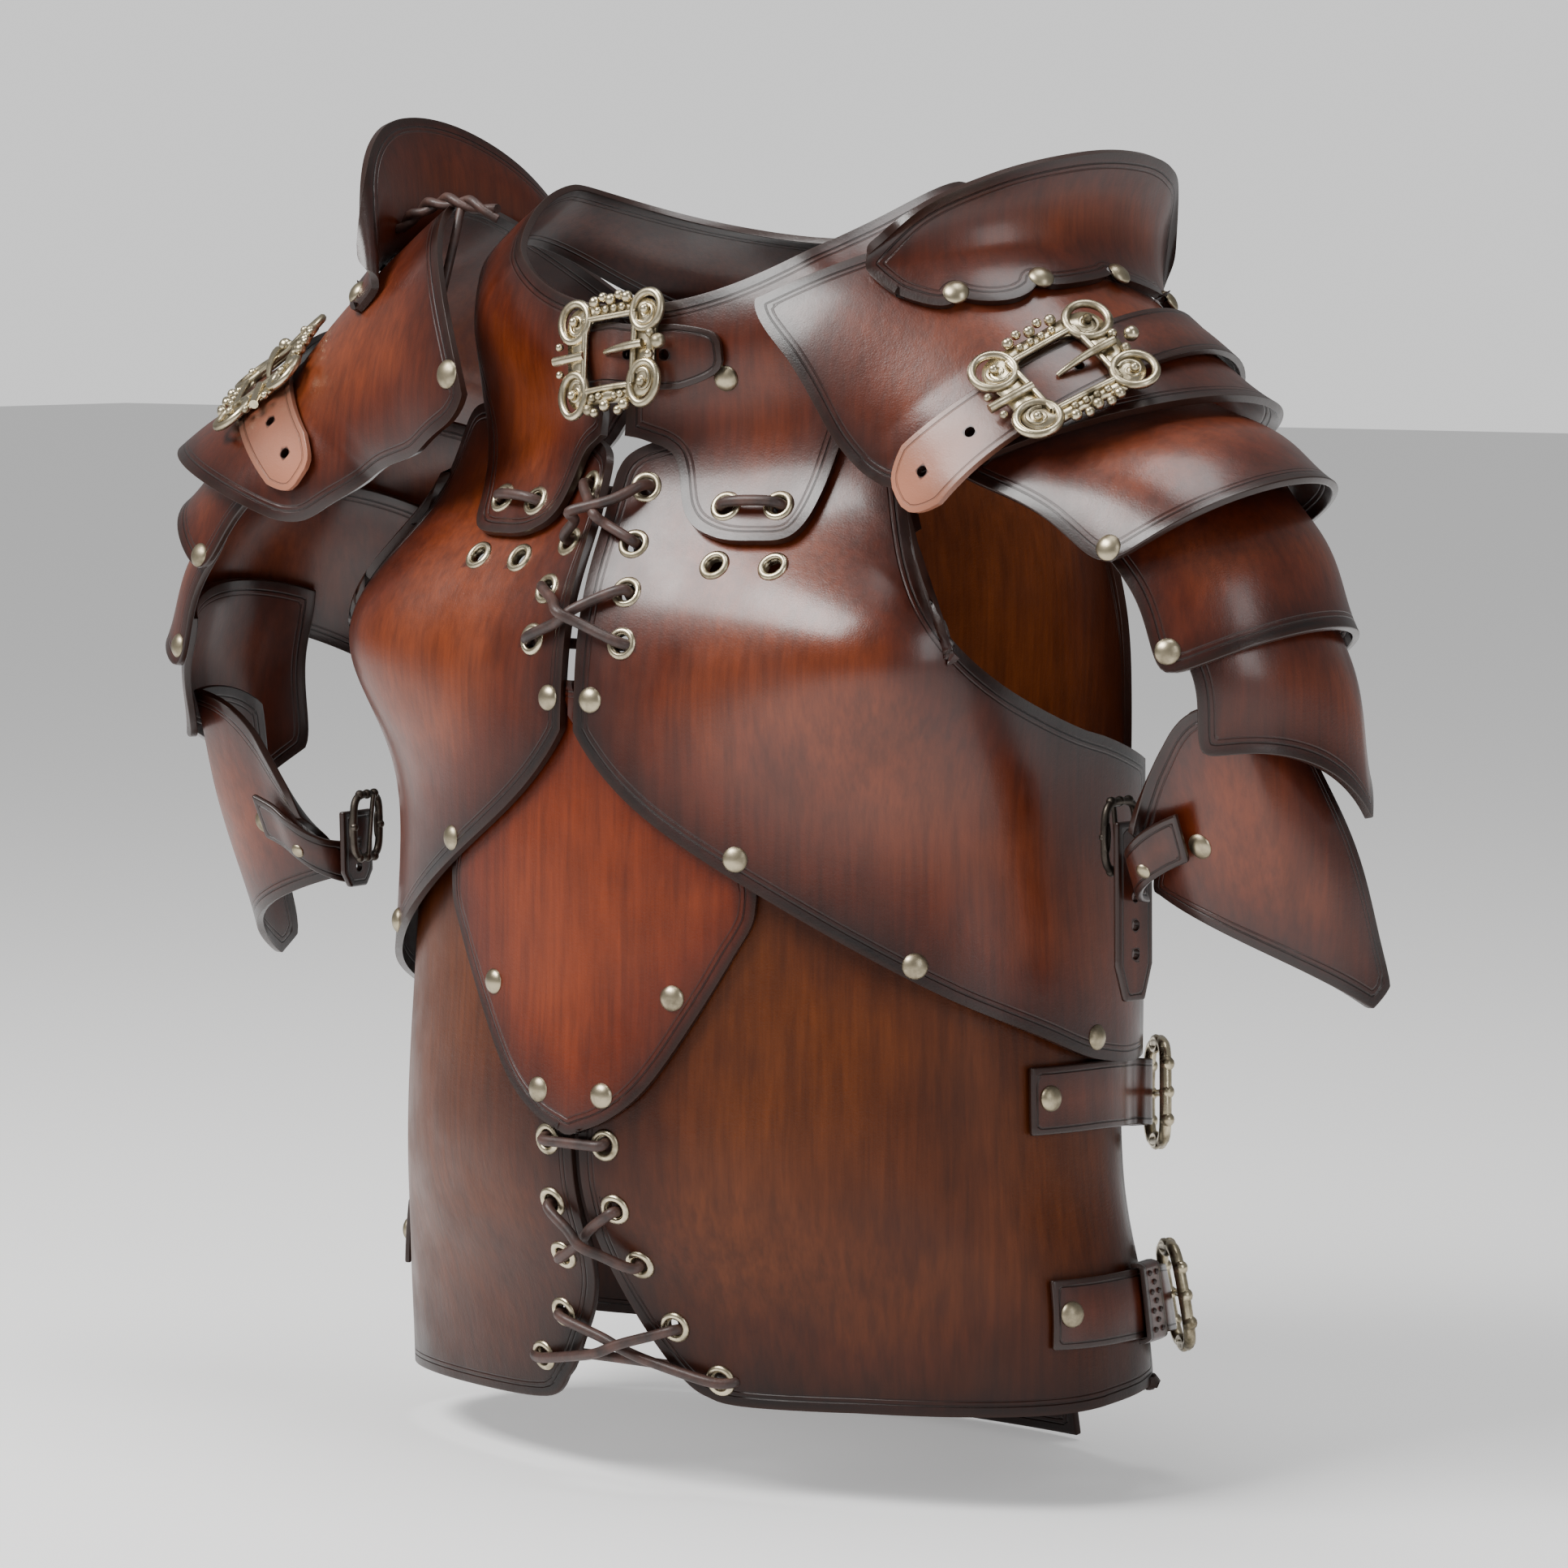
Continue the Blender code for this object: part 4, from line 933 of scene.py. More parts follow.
def groove_line(tree, rim, distance):
    off = sums(tree, "ABSOLUTE", sums(tree, "SUBTRACT", rim, distance))
    return spread_over(tree, off, 0.0, GROOVE_HALF_WIDTH, 1.0, 0.0)


def mahogany(name, dark, middle, bright, warm, grooves=GROOVES, coat=0.35, specular=0.38):
    """Vegetable-tanned leather, dyed in a burst: warm in the middle and near black at the edge. Where its tip
    attribute is set, a painted highlight lightens it.
    """
    made, tree, shader = start_finish(name)
    rim, glow = measure(tree, RIM_NAME), measure(tree, GLOW_NAME)
    cloud = grain(tree, 11.0, 3.0)
    fibre = grain(tree, 1.0, 6.0, 0.62, (330.0, 330.0, 16.0))
    fleck = grain(tree, 95.0, 5.0, 0.6, (1.0, 1.0, 0.35))
    burst = sums(tree, "ADD", glow, sums(tree, "MULTIPLY", sums(tree, "SUBTRACT", cloud, 0.5), 0.95))
    colour = shades(tree, burst, (0.02, dark), (0.26, middle), (0.72, bright), (1.0, warm))
    colour = tint(tree, 0.42, colour, shades(tree, fibre, *FIBRE_TINTS), "MULTIPLY")
    colour = tint(tree, 0.35, colour, shades(tree, fleck, *FLECK_TINTS), "MULTIPLY")
    lines = groove_line(tree, rim, grooves[0])
    if len(grooves) > 1:
        lines = sums(tree, "MAXIMUM", lines, sums(tree, "MULTIPLY", groove_line(tree, rim, grooves[1]), 0.55))
    colour = tint(tree, sums(tree, "MULTIPLY", lines, 0.75), colour, GROOVE_COLOUR)
    burnt = spread_over(tree, rim, 0.0002, 0.0030, 0.85, 0.0)
    colour = tint(tree, burnt, colour, BURNT_COLOUR)
    # Painted highlight: the tip attribute lightens a strap's end toward a pale colour, standing in for light
    # shining off its smooth leather
    pale = sums(tree, "MULTIPLY", measure(tree, TIP_HIGHLIGHT_NAME), 0.8)
    colour = tint(tree, pale, colour, TIP_HIGHLIGHT_COLOUR)
    tree.links.new(colour, shader.inputs["Base Color"])
    polish = spread_over(tree, grain(tree, 34.0, 4.0), 0.3, 0.7, 0.30, 0.44)
    tree.links.new(polish, shader.inputs["Roughness"])
    shader.inputs["Specular IOR Level"].default_value = specular
    shader.inputs["Coat Weight"].default_value = coat
    shader.inputs["Coat Roughness"].default_value = 0.20
    normal = relief(tree, pebbles(tree, 900.0), 0.00012, 0.35)
    normal = relief(tree, grain(tree, 420.0, 3.0), 0.00018, 0.35, normal)
    normal = relief(tree, fibre, 0.00015, 0.40, normal)
    normal = relief(tree, sums(tree, "SUBTRACT", 1.0, lines), 0.0007, 1.0, normal)
    tree.links.new(normal, shader.inputs["Normal"])
    return made


def flesh_side_painted_shade():
    """The rough inner side of the leather, near black: its own brown darkened as painted shade of the armour's
    insides.
    """
    made, tree, shader = start_finish("flesh_side_painted_shade")
    nap = grain(tree, 160.0, 6.0, 0.7)
    cloud = grain(tree, 9.0, 3.0)
    # Near-black browns: the suede's own colour lowered as painted shade of the insides
    colour = shades(tree, nap, (0.3, (0.012, 0.005, 0.003)), (0.7, (0.040, 0.016, 0.010)))
    colour = tint(tree, 0.5, colour, shades(tree, cloud, *CLOUD_TINTS), "MULTIPLY")
    tree.links.new(colour, shader.inputs["Base Color"])
    shader.inputs["Roughness"].default_value = 0.88
    shader.inputs["Sheen Weight"].default_value = 0.08
    tree.links.new(relief(tree, nap, 0.0005, 0.6), shader.inputs["Normal"])
    return made


def burnished_edge():
    made, tree, shader = start_finish("burnished_edge")
    worn = grain(tree, 60.0, 4.0)
    colour = shades(tree, worn, (0.35, (0.022, 0.007, 0.004)), (0.70, (0.085, 0.030, 0.016)))
    tree.links.new(colour, shader.inputs["Base Color"])
    shader.inputs["Roughness"].default_value = 0.42
    shader.inputs["Coat Weight"].default_value = 0.3
    shader.inputs["Coat Roughness"].default_value = 0.3
    tree.links.new(relief(tree, grain(tree, 500.0), 0.0002, 0.4), shader.inputs["Normal"])
    return made


def cast_metal(name, bright, deep, roughness):
    """Old cast metal, darker where it is tarnished."""
    made, tree, shader = start_finish(name)
    stain = grain(tree, 130.0, 5.0, 0.6)
    patch = grain(tree, 30.0, 3.0)
    age = sums(tree, "ADD", sums(tree, "MULTIPLY", stain, 0.6), sums(tree, "MULTIPLY", patch, 0.4))
    colour = shades(tree, age, (0.34, deep), (0.56, bright))
    tree.links.new(colour, shader.inputs["Base Color"])
    shader.inputs["Metallic"].default_value = 1.0
    tree.links.new(spread_over(tree, age, 0.35, 0.6, roughness + 0.25, roughness), shader.inputs["Roughness"])
    tree.links.new(relief(tree, stain, 0.0002, 0.35), shader.inputs["Normal"])
    return made


def cord_finish():
    made, tree, shader = start_finish("lace_leather")
    wear = grain(tree, 120.0, 4.0)
    colour = shades(tree, wear, (0.32, (0.018, 0.008, 0.006)), (0.68, (0.070, 0.030, 0.022)))
    tree.links.new(colour, shader.inputs["Base Color"])
    shader.inputs["Roughness"].default_value = 0.55
    shader.inputs["Coat Weight"].default_value = 0.1
    tree.links.new(relief(tree, grain(tree, 700.0, 4.0), 0.0003, 0.5), shader.inputs["Normal"])
    return made


GLOSSY = mahogany(
    "mahogany_leather", (0.005, 0.0012, 0.0006), (0.030, 0.0048, 0.0018), (0.078, 0.0125, 0.0032),
    (0.150, 0.029, 0.0065),
)
# Darker, duller leather of the belly, back and tail panels: partly a deeper brown, partly painted shade, its
# colours lowered to stand in for the shade on the lower body
DEEP_SHADED = mahogany(
    "deep_brown_painted_shade_leather", (0.005, 0.0012, 0.0005), (0.022, 0.0040, 0.0009), (0.052, 0.0105, 0.0020),
    (0.092, 0.0220, 0.0042), coat=0.04, specular=0.22,
)
RUSSET = mahogany(
    "russet_leather", (0.006, 0.0012, 0.0006), (0.050, 0.0070, 0.0018), (0.110, 0.0155, 0.0030),
    (0.165, 0.027, 0.005), coat=0.15, specular=0.30,
)
STRAP_FINISH = mahogany(
    "strap_leather", (0.008, 0.002, 0.001), (0.038, 0.0072, 0.0028), (0.075, 0.0145, 0.0048),
    (0.110, 0.024, 0.007), grooves=(0.0026,), coat=0.30,
)
FLESH_PAINTED_SHADE = flesh_side_painted_shade()
EDGE = burnished_edge()
BRASS = cast_metal("antique_brass", (0.62, 0.54, 0.38), (0.075, 0.058, 0.032), 0.24)
STUD = cast_metal("old_brass", (0.42, 0.36, 0.25), (0.13, 0.11, 0.075), 0.32)
IRON = cast_metal("blackened_metal", (0.10, 0.085, 0.07), (0.03, 0.025, 0.022), 0.36)
CORD = cord_finish()

# How stiffly a cast buckle keeps its flat shape on a bent strap, and over what length that is judged
BUCKLE_CHORD = 0.022
BUCKLE_STIFFNESS = 0.72
KEEPER_PLACE = 0.29
KEEPER_LENGTH = 0.020
KEEPER_WIDTH = 0.033
KEEPER_LIFT = 0.0028
KEEPER_DROP = 0.0050
# Where the keeper turns down beside the strap, and where it stops going outward
KEEPER_BEND = 0.86
KEEPER_STOP = 0.93
DROP_SPACING = (0.0040, 0.0036)
DROP_RADIUS = 0.0012
GUARD_LOBES = 6
GUARD_RIVETS = {LEFT: (0.175, 0.35, 0.525, 0.70, 0.87), RIGHT: (0.12, 0.31, 0.50, 0.69, 0.87)}
GUARD_RIVET_HEIGHT = 0.12
# The scalloped foot of the guard: how far up it reaches, how deep it is cut and how round its lobes are
LOBE_REACH = 0.16
LOBE_DEPTH = 0.55
LOBE_ROUNDNESS = 0.6
STRAP_TIP_WIDTH = 0.30
# How far the painted highlight at a pauldron strap's tip reaches, in metres
TIP_HIGHLIGHT_LENGTH = 0.055
# Lame, turn and share of the way down of each rivet
LAME_RIVETS = ((0, 70.5, 0.90), (1, 64.9, 0.85), (3, 87.2, 0.60), (0, -78.0, 0.90), (1, -72.0, 0.85))
# The thong: its radius, its hole in the guard (along, across), its place on the rim (turn, level), its
# twist in half turns, its strands' distance from its middle, and its hanging end (level, turn)
THONG = 0.0019
THONG_HOLE = (0.34, 0.42)
THONG_RIM = (70.0, 8.55)
THONG_STEPS = 12
THONG_TWIST = 4.5
THONG_SPREAD = 0.0021
THONG_KNOT = 0.0030
THONG_END = ((8.0, 61.0), (7.6, 59.0), (7.2, 58.0), (6.9, 57.5), (6.72, 57.5))
# Rivets of the torso pieces: turn, level
BREAST_RIVETS = ((7.5, 4.60), (31.0, 3.78), (56.0, 3.17), (89.0, 2.74))
SHIELD_RIVETS = ((20.0, 2.96), (8.0, 2.46))
STRAP_RIVETS = ((80.0, 2.47), (78.0, 1.07), (141.5, 2.305), (141.5, 0.90))
STRAP_RIVET_SINK = 0.0006
GORGET_RIVET = (24.0, 7.42)
# Places along and across of the arm band's stud and of the right cap's knob, and their sizes
ARM_STUD = (0.45, 0.70, 0.6)
CAP_KNOB = (0.07, 0.055, 1.15)

HIDE = (GLOSSY, FLESH_PAINTED_SHADE, EDGE)
DEEP_SHADED_HIDE = (DEEP_SHADED, FLESH_PAINTED_SHADE, EDGE)
SHIELD_HIDE = (RUSSET, FLESH_PAINTED_SHADE, EDGE)
STRAP_HIDE = (STRAP_FINISH, FLESH_PAINTED_SHADE, EDGE)


# The leather pieces


def eased(table, share, ease):
    """A row of a table with its sharp turns rounded off."""
    rows = [table_at(table, min(max(share + step, 0.0), 1.0)) for step in (-ease, 0.0, ease)]
    return [0.25 * before + 0.5 * here + 0.25 * after for before, here, after in zip(*rows)]


def finish_panel(name, side, edges, steps, proud, cuts=None, eyelets=(), spread=0.030, ease=0.0,
                 finishes=HIDE):
    """A panel of the torso between two edges, so far off the form; ease rounds off its edges' turns."""
    def place(along, across):
        first_turn, first_level, second_turn, second_level = eased(edges, along, ease)
        turn = mix(first_turn, second_turn, across)
        level = mix(first_level, second_level, across)
        return mirrored(on_torso(turn, level, proud), side)

    holes = drill_for(f"{name}_holes", eyelets, side) if eyelets else None
    return leather_skin(name, place, steps, finishes, side == RIGHT, cuts=cuts, holes=holes, spread=spread)


def dress_torso():
    for side, word in SIDES:
        rear_shift, front_shift = HEM_SHIFT[side]
        hem = BELLY_EDGES[0]
        edges = ((hem[0], hem[1] + rear_shift, hem[2], hem[3] + front_shift),) + BELLY_EDGES[1:]
        piece = finish_panel(
            f"belly_panel_{word}", side, edges, (84, 60), -2 * LAYER, eyelets=BELLY_EYELETS,
            cuts=(0.05, 0.0, 0.05, 0.0), spread=0.024, finishes=DEEP_SHADED_HIDE,
        )
        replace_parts(piece, f"abdomen_{word}")
        shift = TAB_SHIFT[side]
        under = [(turn + shift, level) for turn, level in TAB_EYELETS + UNDER_TAB_EYELETS]
        piece = finish_panel(
            f"breast_panel_{word}", side, BREAST_EDGES, (90, 70), 0.0, eyelets=list(CHEST_EYELETS) + under,
            spread=0.020, ease=0.045,
        )
        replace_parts(piece, f"breast_{word}")
    edges = tuple((turn, level, -turn, level) for turn, level in SHIELD_EDGES)
    piece = finish_panel(
        "shield_panel", LEFT, edges, (56, 48), -LAYER, cuts=(0.10, 0.0, 0.10, 0.0), spread=0.014,
        finishes=SHIELD_HIDE,
    )
    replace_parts(piece, "belly_shield")
    edges = tuple((360.0 - turn, level, turn, level) for turn, level in BACK_EDGES)
    piece = finish_panel(
        "back_panel", LEFT, edges, (100, 90), -2 * LAYER, cuts=(0.03, 0.0, 0.03, 0.0), spread=0.030,
        finishes=DEEP_SHADED_HIDE,
    )
    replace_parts(piece, "back_plate")
    tail = tuple((180.0 + TAIL_TURN, level, 180.0 - TAIL_TURN, level) for level in TAIL_LEVELS)
    piece = finish_panel("tail_panel", LEFT, tail, (20, 40), -LAYER, spread=0.016, finishes=DEEP_SHADED_HIDE)
    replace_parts(piece, "tail_flap")


def dress_gorget():
    for side, word in SIDES:
        shift = TAB_SHIFT[side]

        def place(along, across, side=side, shift=shift):
            turn, level, rim, share, proud = table_at(GORGET_EDGES, along)
            point_turn = mix(turn + shift * share, rim, across)
            return mirrored(on_torso(point_turn, mix(level, NECK_LEVEL, across), LAYER * proud), side)

        holes = drill_for(f"tab_holes_{word}", [(turn + shift, level) for turn, level in TAB_EYELETS], side)
        piece = leather_skin(
            f"gorget_panel_{word}", place, (150, 36), HIDE, side == RIGHT, holes=holes, spread=0.014,
        )
        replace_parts(piece, f"gorget_{word}")


def lame_place(along, across, side, index):
    """A place of a lame: along runs down it, across from its rear end to its front one."""
    row = LAMES[index]
    return mirrored(lame_point(index, mix(row[REAR], row[FRONT], across), along, side), side)


def dress_shoulders():
    for side, word in SIDES:
        piece = leather_skin(
            f"shoulder_cap_{word}", partial(cap_point, side=side), (60, 72), HIDE, side == RIGHT,
            cuts=(0.02, 0.05, 0.02, 0.05), spread=0.018,
        )
        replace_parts(piece, f"pauldron_cap_{word}")

        def guard_place(along, across, side=side):
            lobe = abs(math.sin(math.pi * GUARD_LOBES * along)) ** LOBE_ROUNDNESS
            foot = max(1.0 - across / LOBE_REACH, 0.0)
            point = guard_point(along, max(across, 0.0), side)
            inner = guard_point(along, max(across, LOBE_REACH), side)
            return point.lerp(inner, foot * (1.0 - lobe) * LOBE_DEPTH)

        piece = leather_skin(
            f"standing_guard_{word}", guard_place, (96, 36), HIDE, side == RIGHT, cuts=(0.0, 0.0, 0.06, 0.06),
            spread=0.013,
        )
        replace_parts(piece, f"neck_guard_{word}")
        for index in range(len(LAMES)):
            piece = leather_skin(
                f"arm_lame_{index + 1}_{word}", partial(lame_place, side=side, index=index), (26, 56), HIDE,
                side == LEFT, cuts=(0.0, 0.03, 0.0, 0.06), spread=0.013,
            )
            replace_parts(piece, f"lame_{index + 1}_{word}")


def prick_for(name, place, pricks, turned):
    """The cutter of a strap's round holes, which lie at these shares of its length."""
    if not pricks:
        return None
    seats = [seat_between(place, share, turned) for share in pricks]
    return cutter_of(name, seats, STRAP_HOLE / 2, STRAP_CUTTER_LENGTH)


def finish_strap(name, node, form, route, side, proud, steps, slide=0.0, tips=(0.0, 0.0), dress=None,
                 pricks=()):
    """A strap along a route on a form; tips are the shares of its length over which its ends narrow."""
    settle = at_shoulder if form is on_shoulder else mirrored

    def place(along, across):
        turn, level, lift, toward, aside = strap_frame(form, route, along, slide)
        width = STRAP_WIDTH
        for tip, gap in zip(tips, (along, 1.0 - along)):
            if tip > gap:
                width *= mix(STRAP_TIP_WIDTH, 1.0, math.sqrt(gap / tip))

        def height(at_level):
            return proud(at_level) + lift

        return settle(beside(form, turn, level, height, toward, aside, 0.0, width * (across - 0.5)), side)

    piece = leather_skin(
        name, place, steps, STRAP_HIDE, side == RIGHT, thickness=STRAP_LEATHER, spread=0.010, swell=0.0002,
        dress=dress, holes=prick_for(f"{name}_holes", place, pricks, side == RIGHT),
    )
    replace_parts(piece, node)


STRAP_ROOM = STRAP_GAP + STRAP_LEATHER


def over_cap(level, side):
    """How far a strap's face stands off the shoulder form where it crosses the cap."""
    return cap_proud(level, side) + STRAP_ROOM


def over_gorget(_level):
    return LAYER + STRAP_ROOM


def over_belly(_level):
    return -2 * LAYER + STRAP_ROOM


def dress_straps():
    for side, word in SIDES:
        slide = cap_slide(side)
        turn, level, _ = PAULDRON_STRAP[0]
        tip = at_shoulder(on_shoulder(turn, level + slide, over_cap(level + slide, side)), side)

        # Painted highlight at the strap's tip: full at the tip and fading out a few centimetres along it
        def tip_highlight_share(point, tip=tip):
            return max(1.0 - (point - tip).length / TIP_HIGHLIGHT_LENGTH, 0.0)

        finish_strap(
            f"pauldron_strap_finish_{word}", f"pauldron_strap_{word}", on_shoulder, PAULDRON_STRAP, side,
            partial(over_cap, side=side), (70, 10), slide, (0.10, 0.0), dress=tip_highlight_share,
            pricks=(0.115, 0.245, 0.375, 0.50),
        )

    finish_strap(
        "gorget_strap_finish", "gorget_strap", on_torso, GORGET_STRAP, LEFT, over_gorget, (40, 10), 0.0,
        (0.0, 0.25), pricks=(0.46, 0.68),
    )
    for side, word in SIDES:
        for height, route in SIDE_STRAPS.items():
            finish_strap(
                f"side_strap_finish_{height}_{word}", f"side_strap_{height}_{word}", on_torso, route, side,
                over_belly, (60, 8),
            )


def dress_arm_straps():
    for side, word in SIDES:
        for name, surface, steps, pricks in (
            ("arm_strap", arm_band_point, (34, 8), ()),
            ("arm_strap_end", arm_end_point, (30, 8), (0.42, 0.58, 0.74)),
        ):
            place = partial(surface, side=side)
            piece = leather_skin(
                f"{name}_finish_{word}", place, steps, STRAP_HIDE, side == RIGHT, thickness=STRAP_LEATHER,
                spread=0.010, swell=0.0, holes=prick_for(f"{name}_holes_{word}", place, pricks, side == RIGHT),
            )
            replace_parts(piece, f"{name}_{word}")


# Buckles

# The cast frame. Shares of its half length and half height: its window, the loops at its corners and
# where they stand. Then the thickness of its parts in metres.
WINDOW_SHARES = (0.46, 0.58)
WINDOW_SQUARENESS = 5.0
LOOP_SHARES = (0.265, 0.34)
LOOP_PLACE = (0.69, 0.60)
CURL_SHARE = 0.62
OUTLINE_SIZE = 0.90
OUTLINE_LOBES = 0.075
OUTLINE_ROUNDNESS = 0.72
PLATE_BACK = -0.0004
PLATE_THICKNESS = 0.0017
PLATE_EDGE_SHARE = 0.8
LOOP_WIRE = 0.0017
CURL_WIRE = 0.0012
RAIL_WIRE = 0.0013
RAIL_HEIGHT = 0.0019
BAR_WIRE = 0.0019
TONGUE_WIRE = 0.0016
# The beads between the loops: an outer row of five, by turns small and large, and an inner one of four
BEAD_SPACING = 0.155
BEAD_HEIGHT = 0.0022
SMALL_BEAD = 0.0019
LARGE_BEAD = 0.0023
INNER_BEAD = 0.0016
ODD_BEAD_LIFT = 0.0016
# Middle line of the tongue: share of the half length, height
CAST_TONGUE = ((-0.10, 0.0006), (0.10, 0.0030), (0.45, 0.0046), (0.72, 0.0040))
PLAIN_TONGUE = ((-0.95, 0.0026), (-0.4, 0.0034), (0.4, 0.0040), (1.0, 0.0052))
PLAIN_FRAME_STEPS = 32
PLAIN_ROUNDNESS = 0.55


def bead(place, radius):
    ball = bmesh.new()
    bmesh.ops.create_uvsphere(ball, u_segments=12, v_segments=8, radius=radius)
    bmesh.ops.transform(ball, matrix=Matrix.Translation(place), verts=ball.verts)
    mesh = bpy.data.meshes.new("bead")
    ball.to_mesh(mesh)
    ball.free()
    mesh.shade_smooth()
    return mesh


def ring_around(middle, radii, lay, wire, turned=0.0, sweep=1.0, count=18, shrink=0.0):
    """A round loop or, with a sweep over one, a curl that winds inwards."""
    points, thick = [], []
    for step in range(count if sweep == 1.0 else count + 1):
        share = step / count
        angle = turned + 2 * math.pi * sweep * share
        size = 1.0 - shrink * share
        ahead, over = middle[0] + radii[0] * size * math.cos(angle), middle[1] + radii[1] * size * math.sin(angle)
        points.append(lay(ahead, over, wire))
        thick.append(1.0 - 0.35 * share * (sweep != 1.0))
    return rod("curl", points, wire, closed=sweep == 1.0, radii=thick, around=2, smooth=2)


def frame_plate(lay, window, outline, thickness, steps=72):
    """The flat casting between a buckle's window and its outline, with a raised middle."""
    edge = thickness * PLATE_EDGE_SHARE
    section = ((0.0, PLATE_BACK), (0.0, edge), (0.5, thickness), (1.0, edge), (1.0, PLATE_BACK))
    plate = bmesh.new()
    bmesh.ops.create_circle(plate, cap_ends=False, radius=1.0, segments=steps)
    first = ring = list(plate.edges)
    for _row in section[1:]:
        grown = bmesh.ops.extrude_edge_only(plate, edges=ring)["geom"]
        ring = [part for part in grown if isinstance(part, bmesh.types.BMEdge)]
        corners = [part for part in grown if isinstance(part, bmesh.types.BMVert)]
        bmesh.ops.translate(plate, vec=(0.0, 0.0, 1.0), verts=corners)
    bmesh.ops.bridge_loops(plate, edges=first + ring)
    for corner in plate.verts:
        share, height = section[round(corner.co.z)]
        angle = math.atan2(corner.co.y, corner.co.x)
        waves = (math.cos(angle), math.sin(angle))
        inner = [size * power(wave, 2 / WINDOW_SQUARENESS) for size, wave in zip(window, waves)]
        outer = outline(angle)
        corner.co = lay(mix(inner[0], outer[0], share), mix(inner[1], outer[1], share), height)
    bmesh.ops.recalc_face_normals(plate, faces=plate.faces)
    mesh = bpy.data.meshes.new("plate")
    plate.to_mesh(mesh)
    plate.free()
    mesh.shade_smooth()
    return mesh


def cast_buckle(lay, size):
    """A cast buckle frame: a scrolled loop at each corner, beads between them and a bar at one end."""
    half, tall = size[0] / 2, size[1] / 2
    window = (half * WINDOW_SHARES[0], tall * WINDOW_SHARES[1])

    def outline(angle):
        lobes = OUTLINE_SIZE + OUTLINE_LOBES * math.cos(4 * (angle - math.pi / 4))
        ahead, over = (power(wave, OUTLINE_ROUNDNESS) for wave in (math.cos(angle), math.sin(angle)))
        return half * lobes * ahead, tall * lobes * over

    pieces = [frame_plate(lay, window, outline, PLATE_THICKNESS)]
    loop = (half * LOOP_SHARES[0], tall * LOOP_SHARES[1])
    for ahead in (-1, 1):
        for over in (-1, 1):
            middle = (ahead * half * LOOP_PLACE[0], over * tall * LOOP_PLACE[1])
            pieces.append(ring_around(middle, loop, lay, LOOP_WIRE, count=20))
            turned = math.atan2(-over, -ahead)
            curl = (middle[0] - ahead * half * 0.03, middle[1] - over * tall * 0.04)
            small = (loop[0] * CURL_SHARE, loop[1] * CURL_SHARE)
            pieces.append(ring_around(curl, small, lay, CURL_WIRE, turned, 1.2 * ahead * over, 16, 0.75))
            pieces.append(bead(lay(middle[0], middle[1], 0.0030), SMALL_BEAD))
    for over in (-1, 1):
        for step in range(-2, 3):
            lift, radius = (ODD_BEAD_LIFT, SMALL_BEAD) if step % 2 else (0.0, LARGE_BEAD)
            place = lay(step * half * BEAD_SPACING, over * (tall * 0.90 + lift), BEAD_HEIGHT)
            pieces.append(bead(place, radius))
        for step in (-1.5, -0.5, 0.5, 1.5):
            place = lay(step * half * BEAD_SPACING, over * tall * 0.73, BEAD_HEIGHT)
            pieces.append(bead(place, INNER_BEAD))
        rail = [
            lay(step * window[0] * 1.08, over * window[1] * 1.03, RAIL_HEIGHT)
            for step in (-1.0, -0.5, 0.0, 0.5, 1.0)
        ]
        pieces.append(rod("rail", rail, RAIL_WIRE, around=2, smooth=2))
    for ahead in (-1, 1):
        post = [
            lay(ahead * window[0] * 1.04, step * window[1], RAIL_HEIGHT) for step in (-1.0, -0.4, 0.4, 1.0)
        ]
        pieces.append(rod("post", post, RAIL_WIRE, around=2, smooth=2))
    bar = [lay(-half * share, 0.0, 0.0024) for share in (1.07, 0.9, 0.7, 0.46)]
    pieces.append(rod("bar", bar, BAR_WIRE, around=3, smooth=2))
    pieces.append(bead(lay(half * 0.98, 0.0, 0.0030), 0.0030))
    for over in (-1, 1):
        pieces.append(bead(lay(half * 0.80, over * tall * 0.17, 0.0024), SMALL_BEAD))
        pieces.append(bead(lay(-half * 0.98, over * tall * 0.22, 0.0020), INNER_BEAD))
    tongue = [lay(half * share, 0.0, height) for share, height in CAST_TONGUE]
    pieces.append(rod("tongue", tongue, TONGUE_WIRE, radii=[0.6, 0.9, 1.1, 1.1], around=3, smooth=3))
    return pieces


def plain_buckle(lay, size, wire):
    """A round-cornered frame with a roller bar and a tongue."""
    half, tall = size[0] / 2 - wire, size[1] / 2 - wire
    frame_line = []
    for step in range(PLAIN_FRAME_STEPS):
        angle = 2 * math.pi * step / PLAIN_FRAME_STEPS
        ahead, over = (power(wave, PLAIN_ROUNDNESS) for wave in (math.cos(angle), math.sin(angle)))
        frame_line.append(lay(half * ahead, tall * over, wire))
    pieces = [rod("frame", frame_line, wire, closed=True, around=3, smooth=2)]
    for ahead in (-1, 1):
        for step in (-0.55, 0.0, 0.55):
            pieces.append(bead(lay(ahead * half, step * tall, wire * 1.2), wire * 1.25))
    for over in (-1, 1):
        end = (0.0, over * tall * 0.96)
        pieces.append(ring_around(end, (half * 0.42, tall * 0.13), lay, wire * 0.55, count=14))
        pieces.append(bead(lay(0.0, over * tall, wire * 1.3), wire * 1.15))
    tongue = [lay(half * share, 0.0, height) for share, height in PLAIN_TONGUE]
    pieces.append(rod("tongue", tongue, wire * 0.62, around=2, smooth=3))
    return pieces


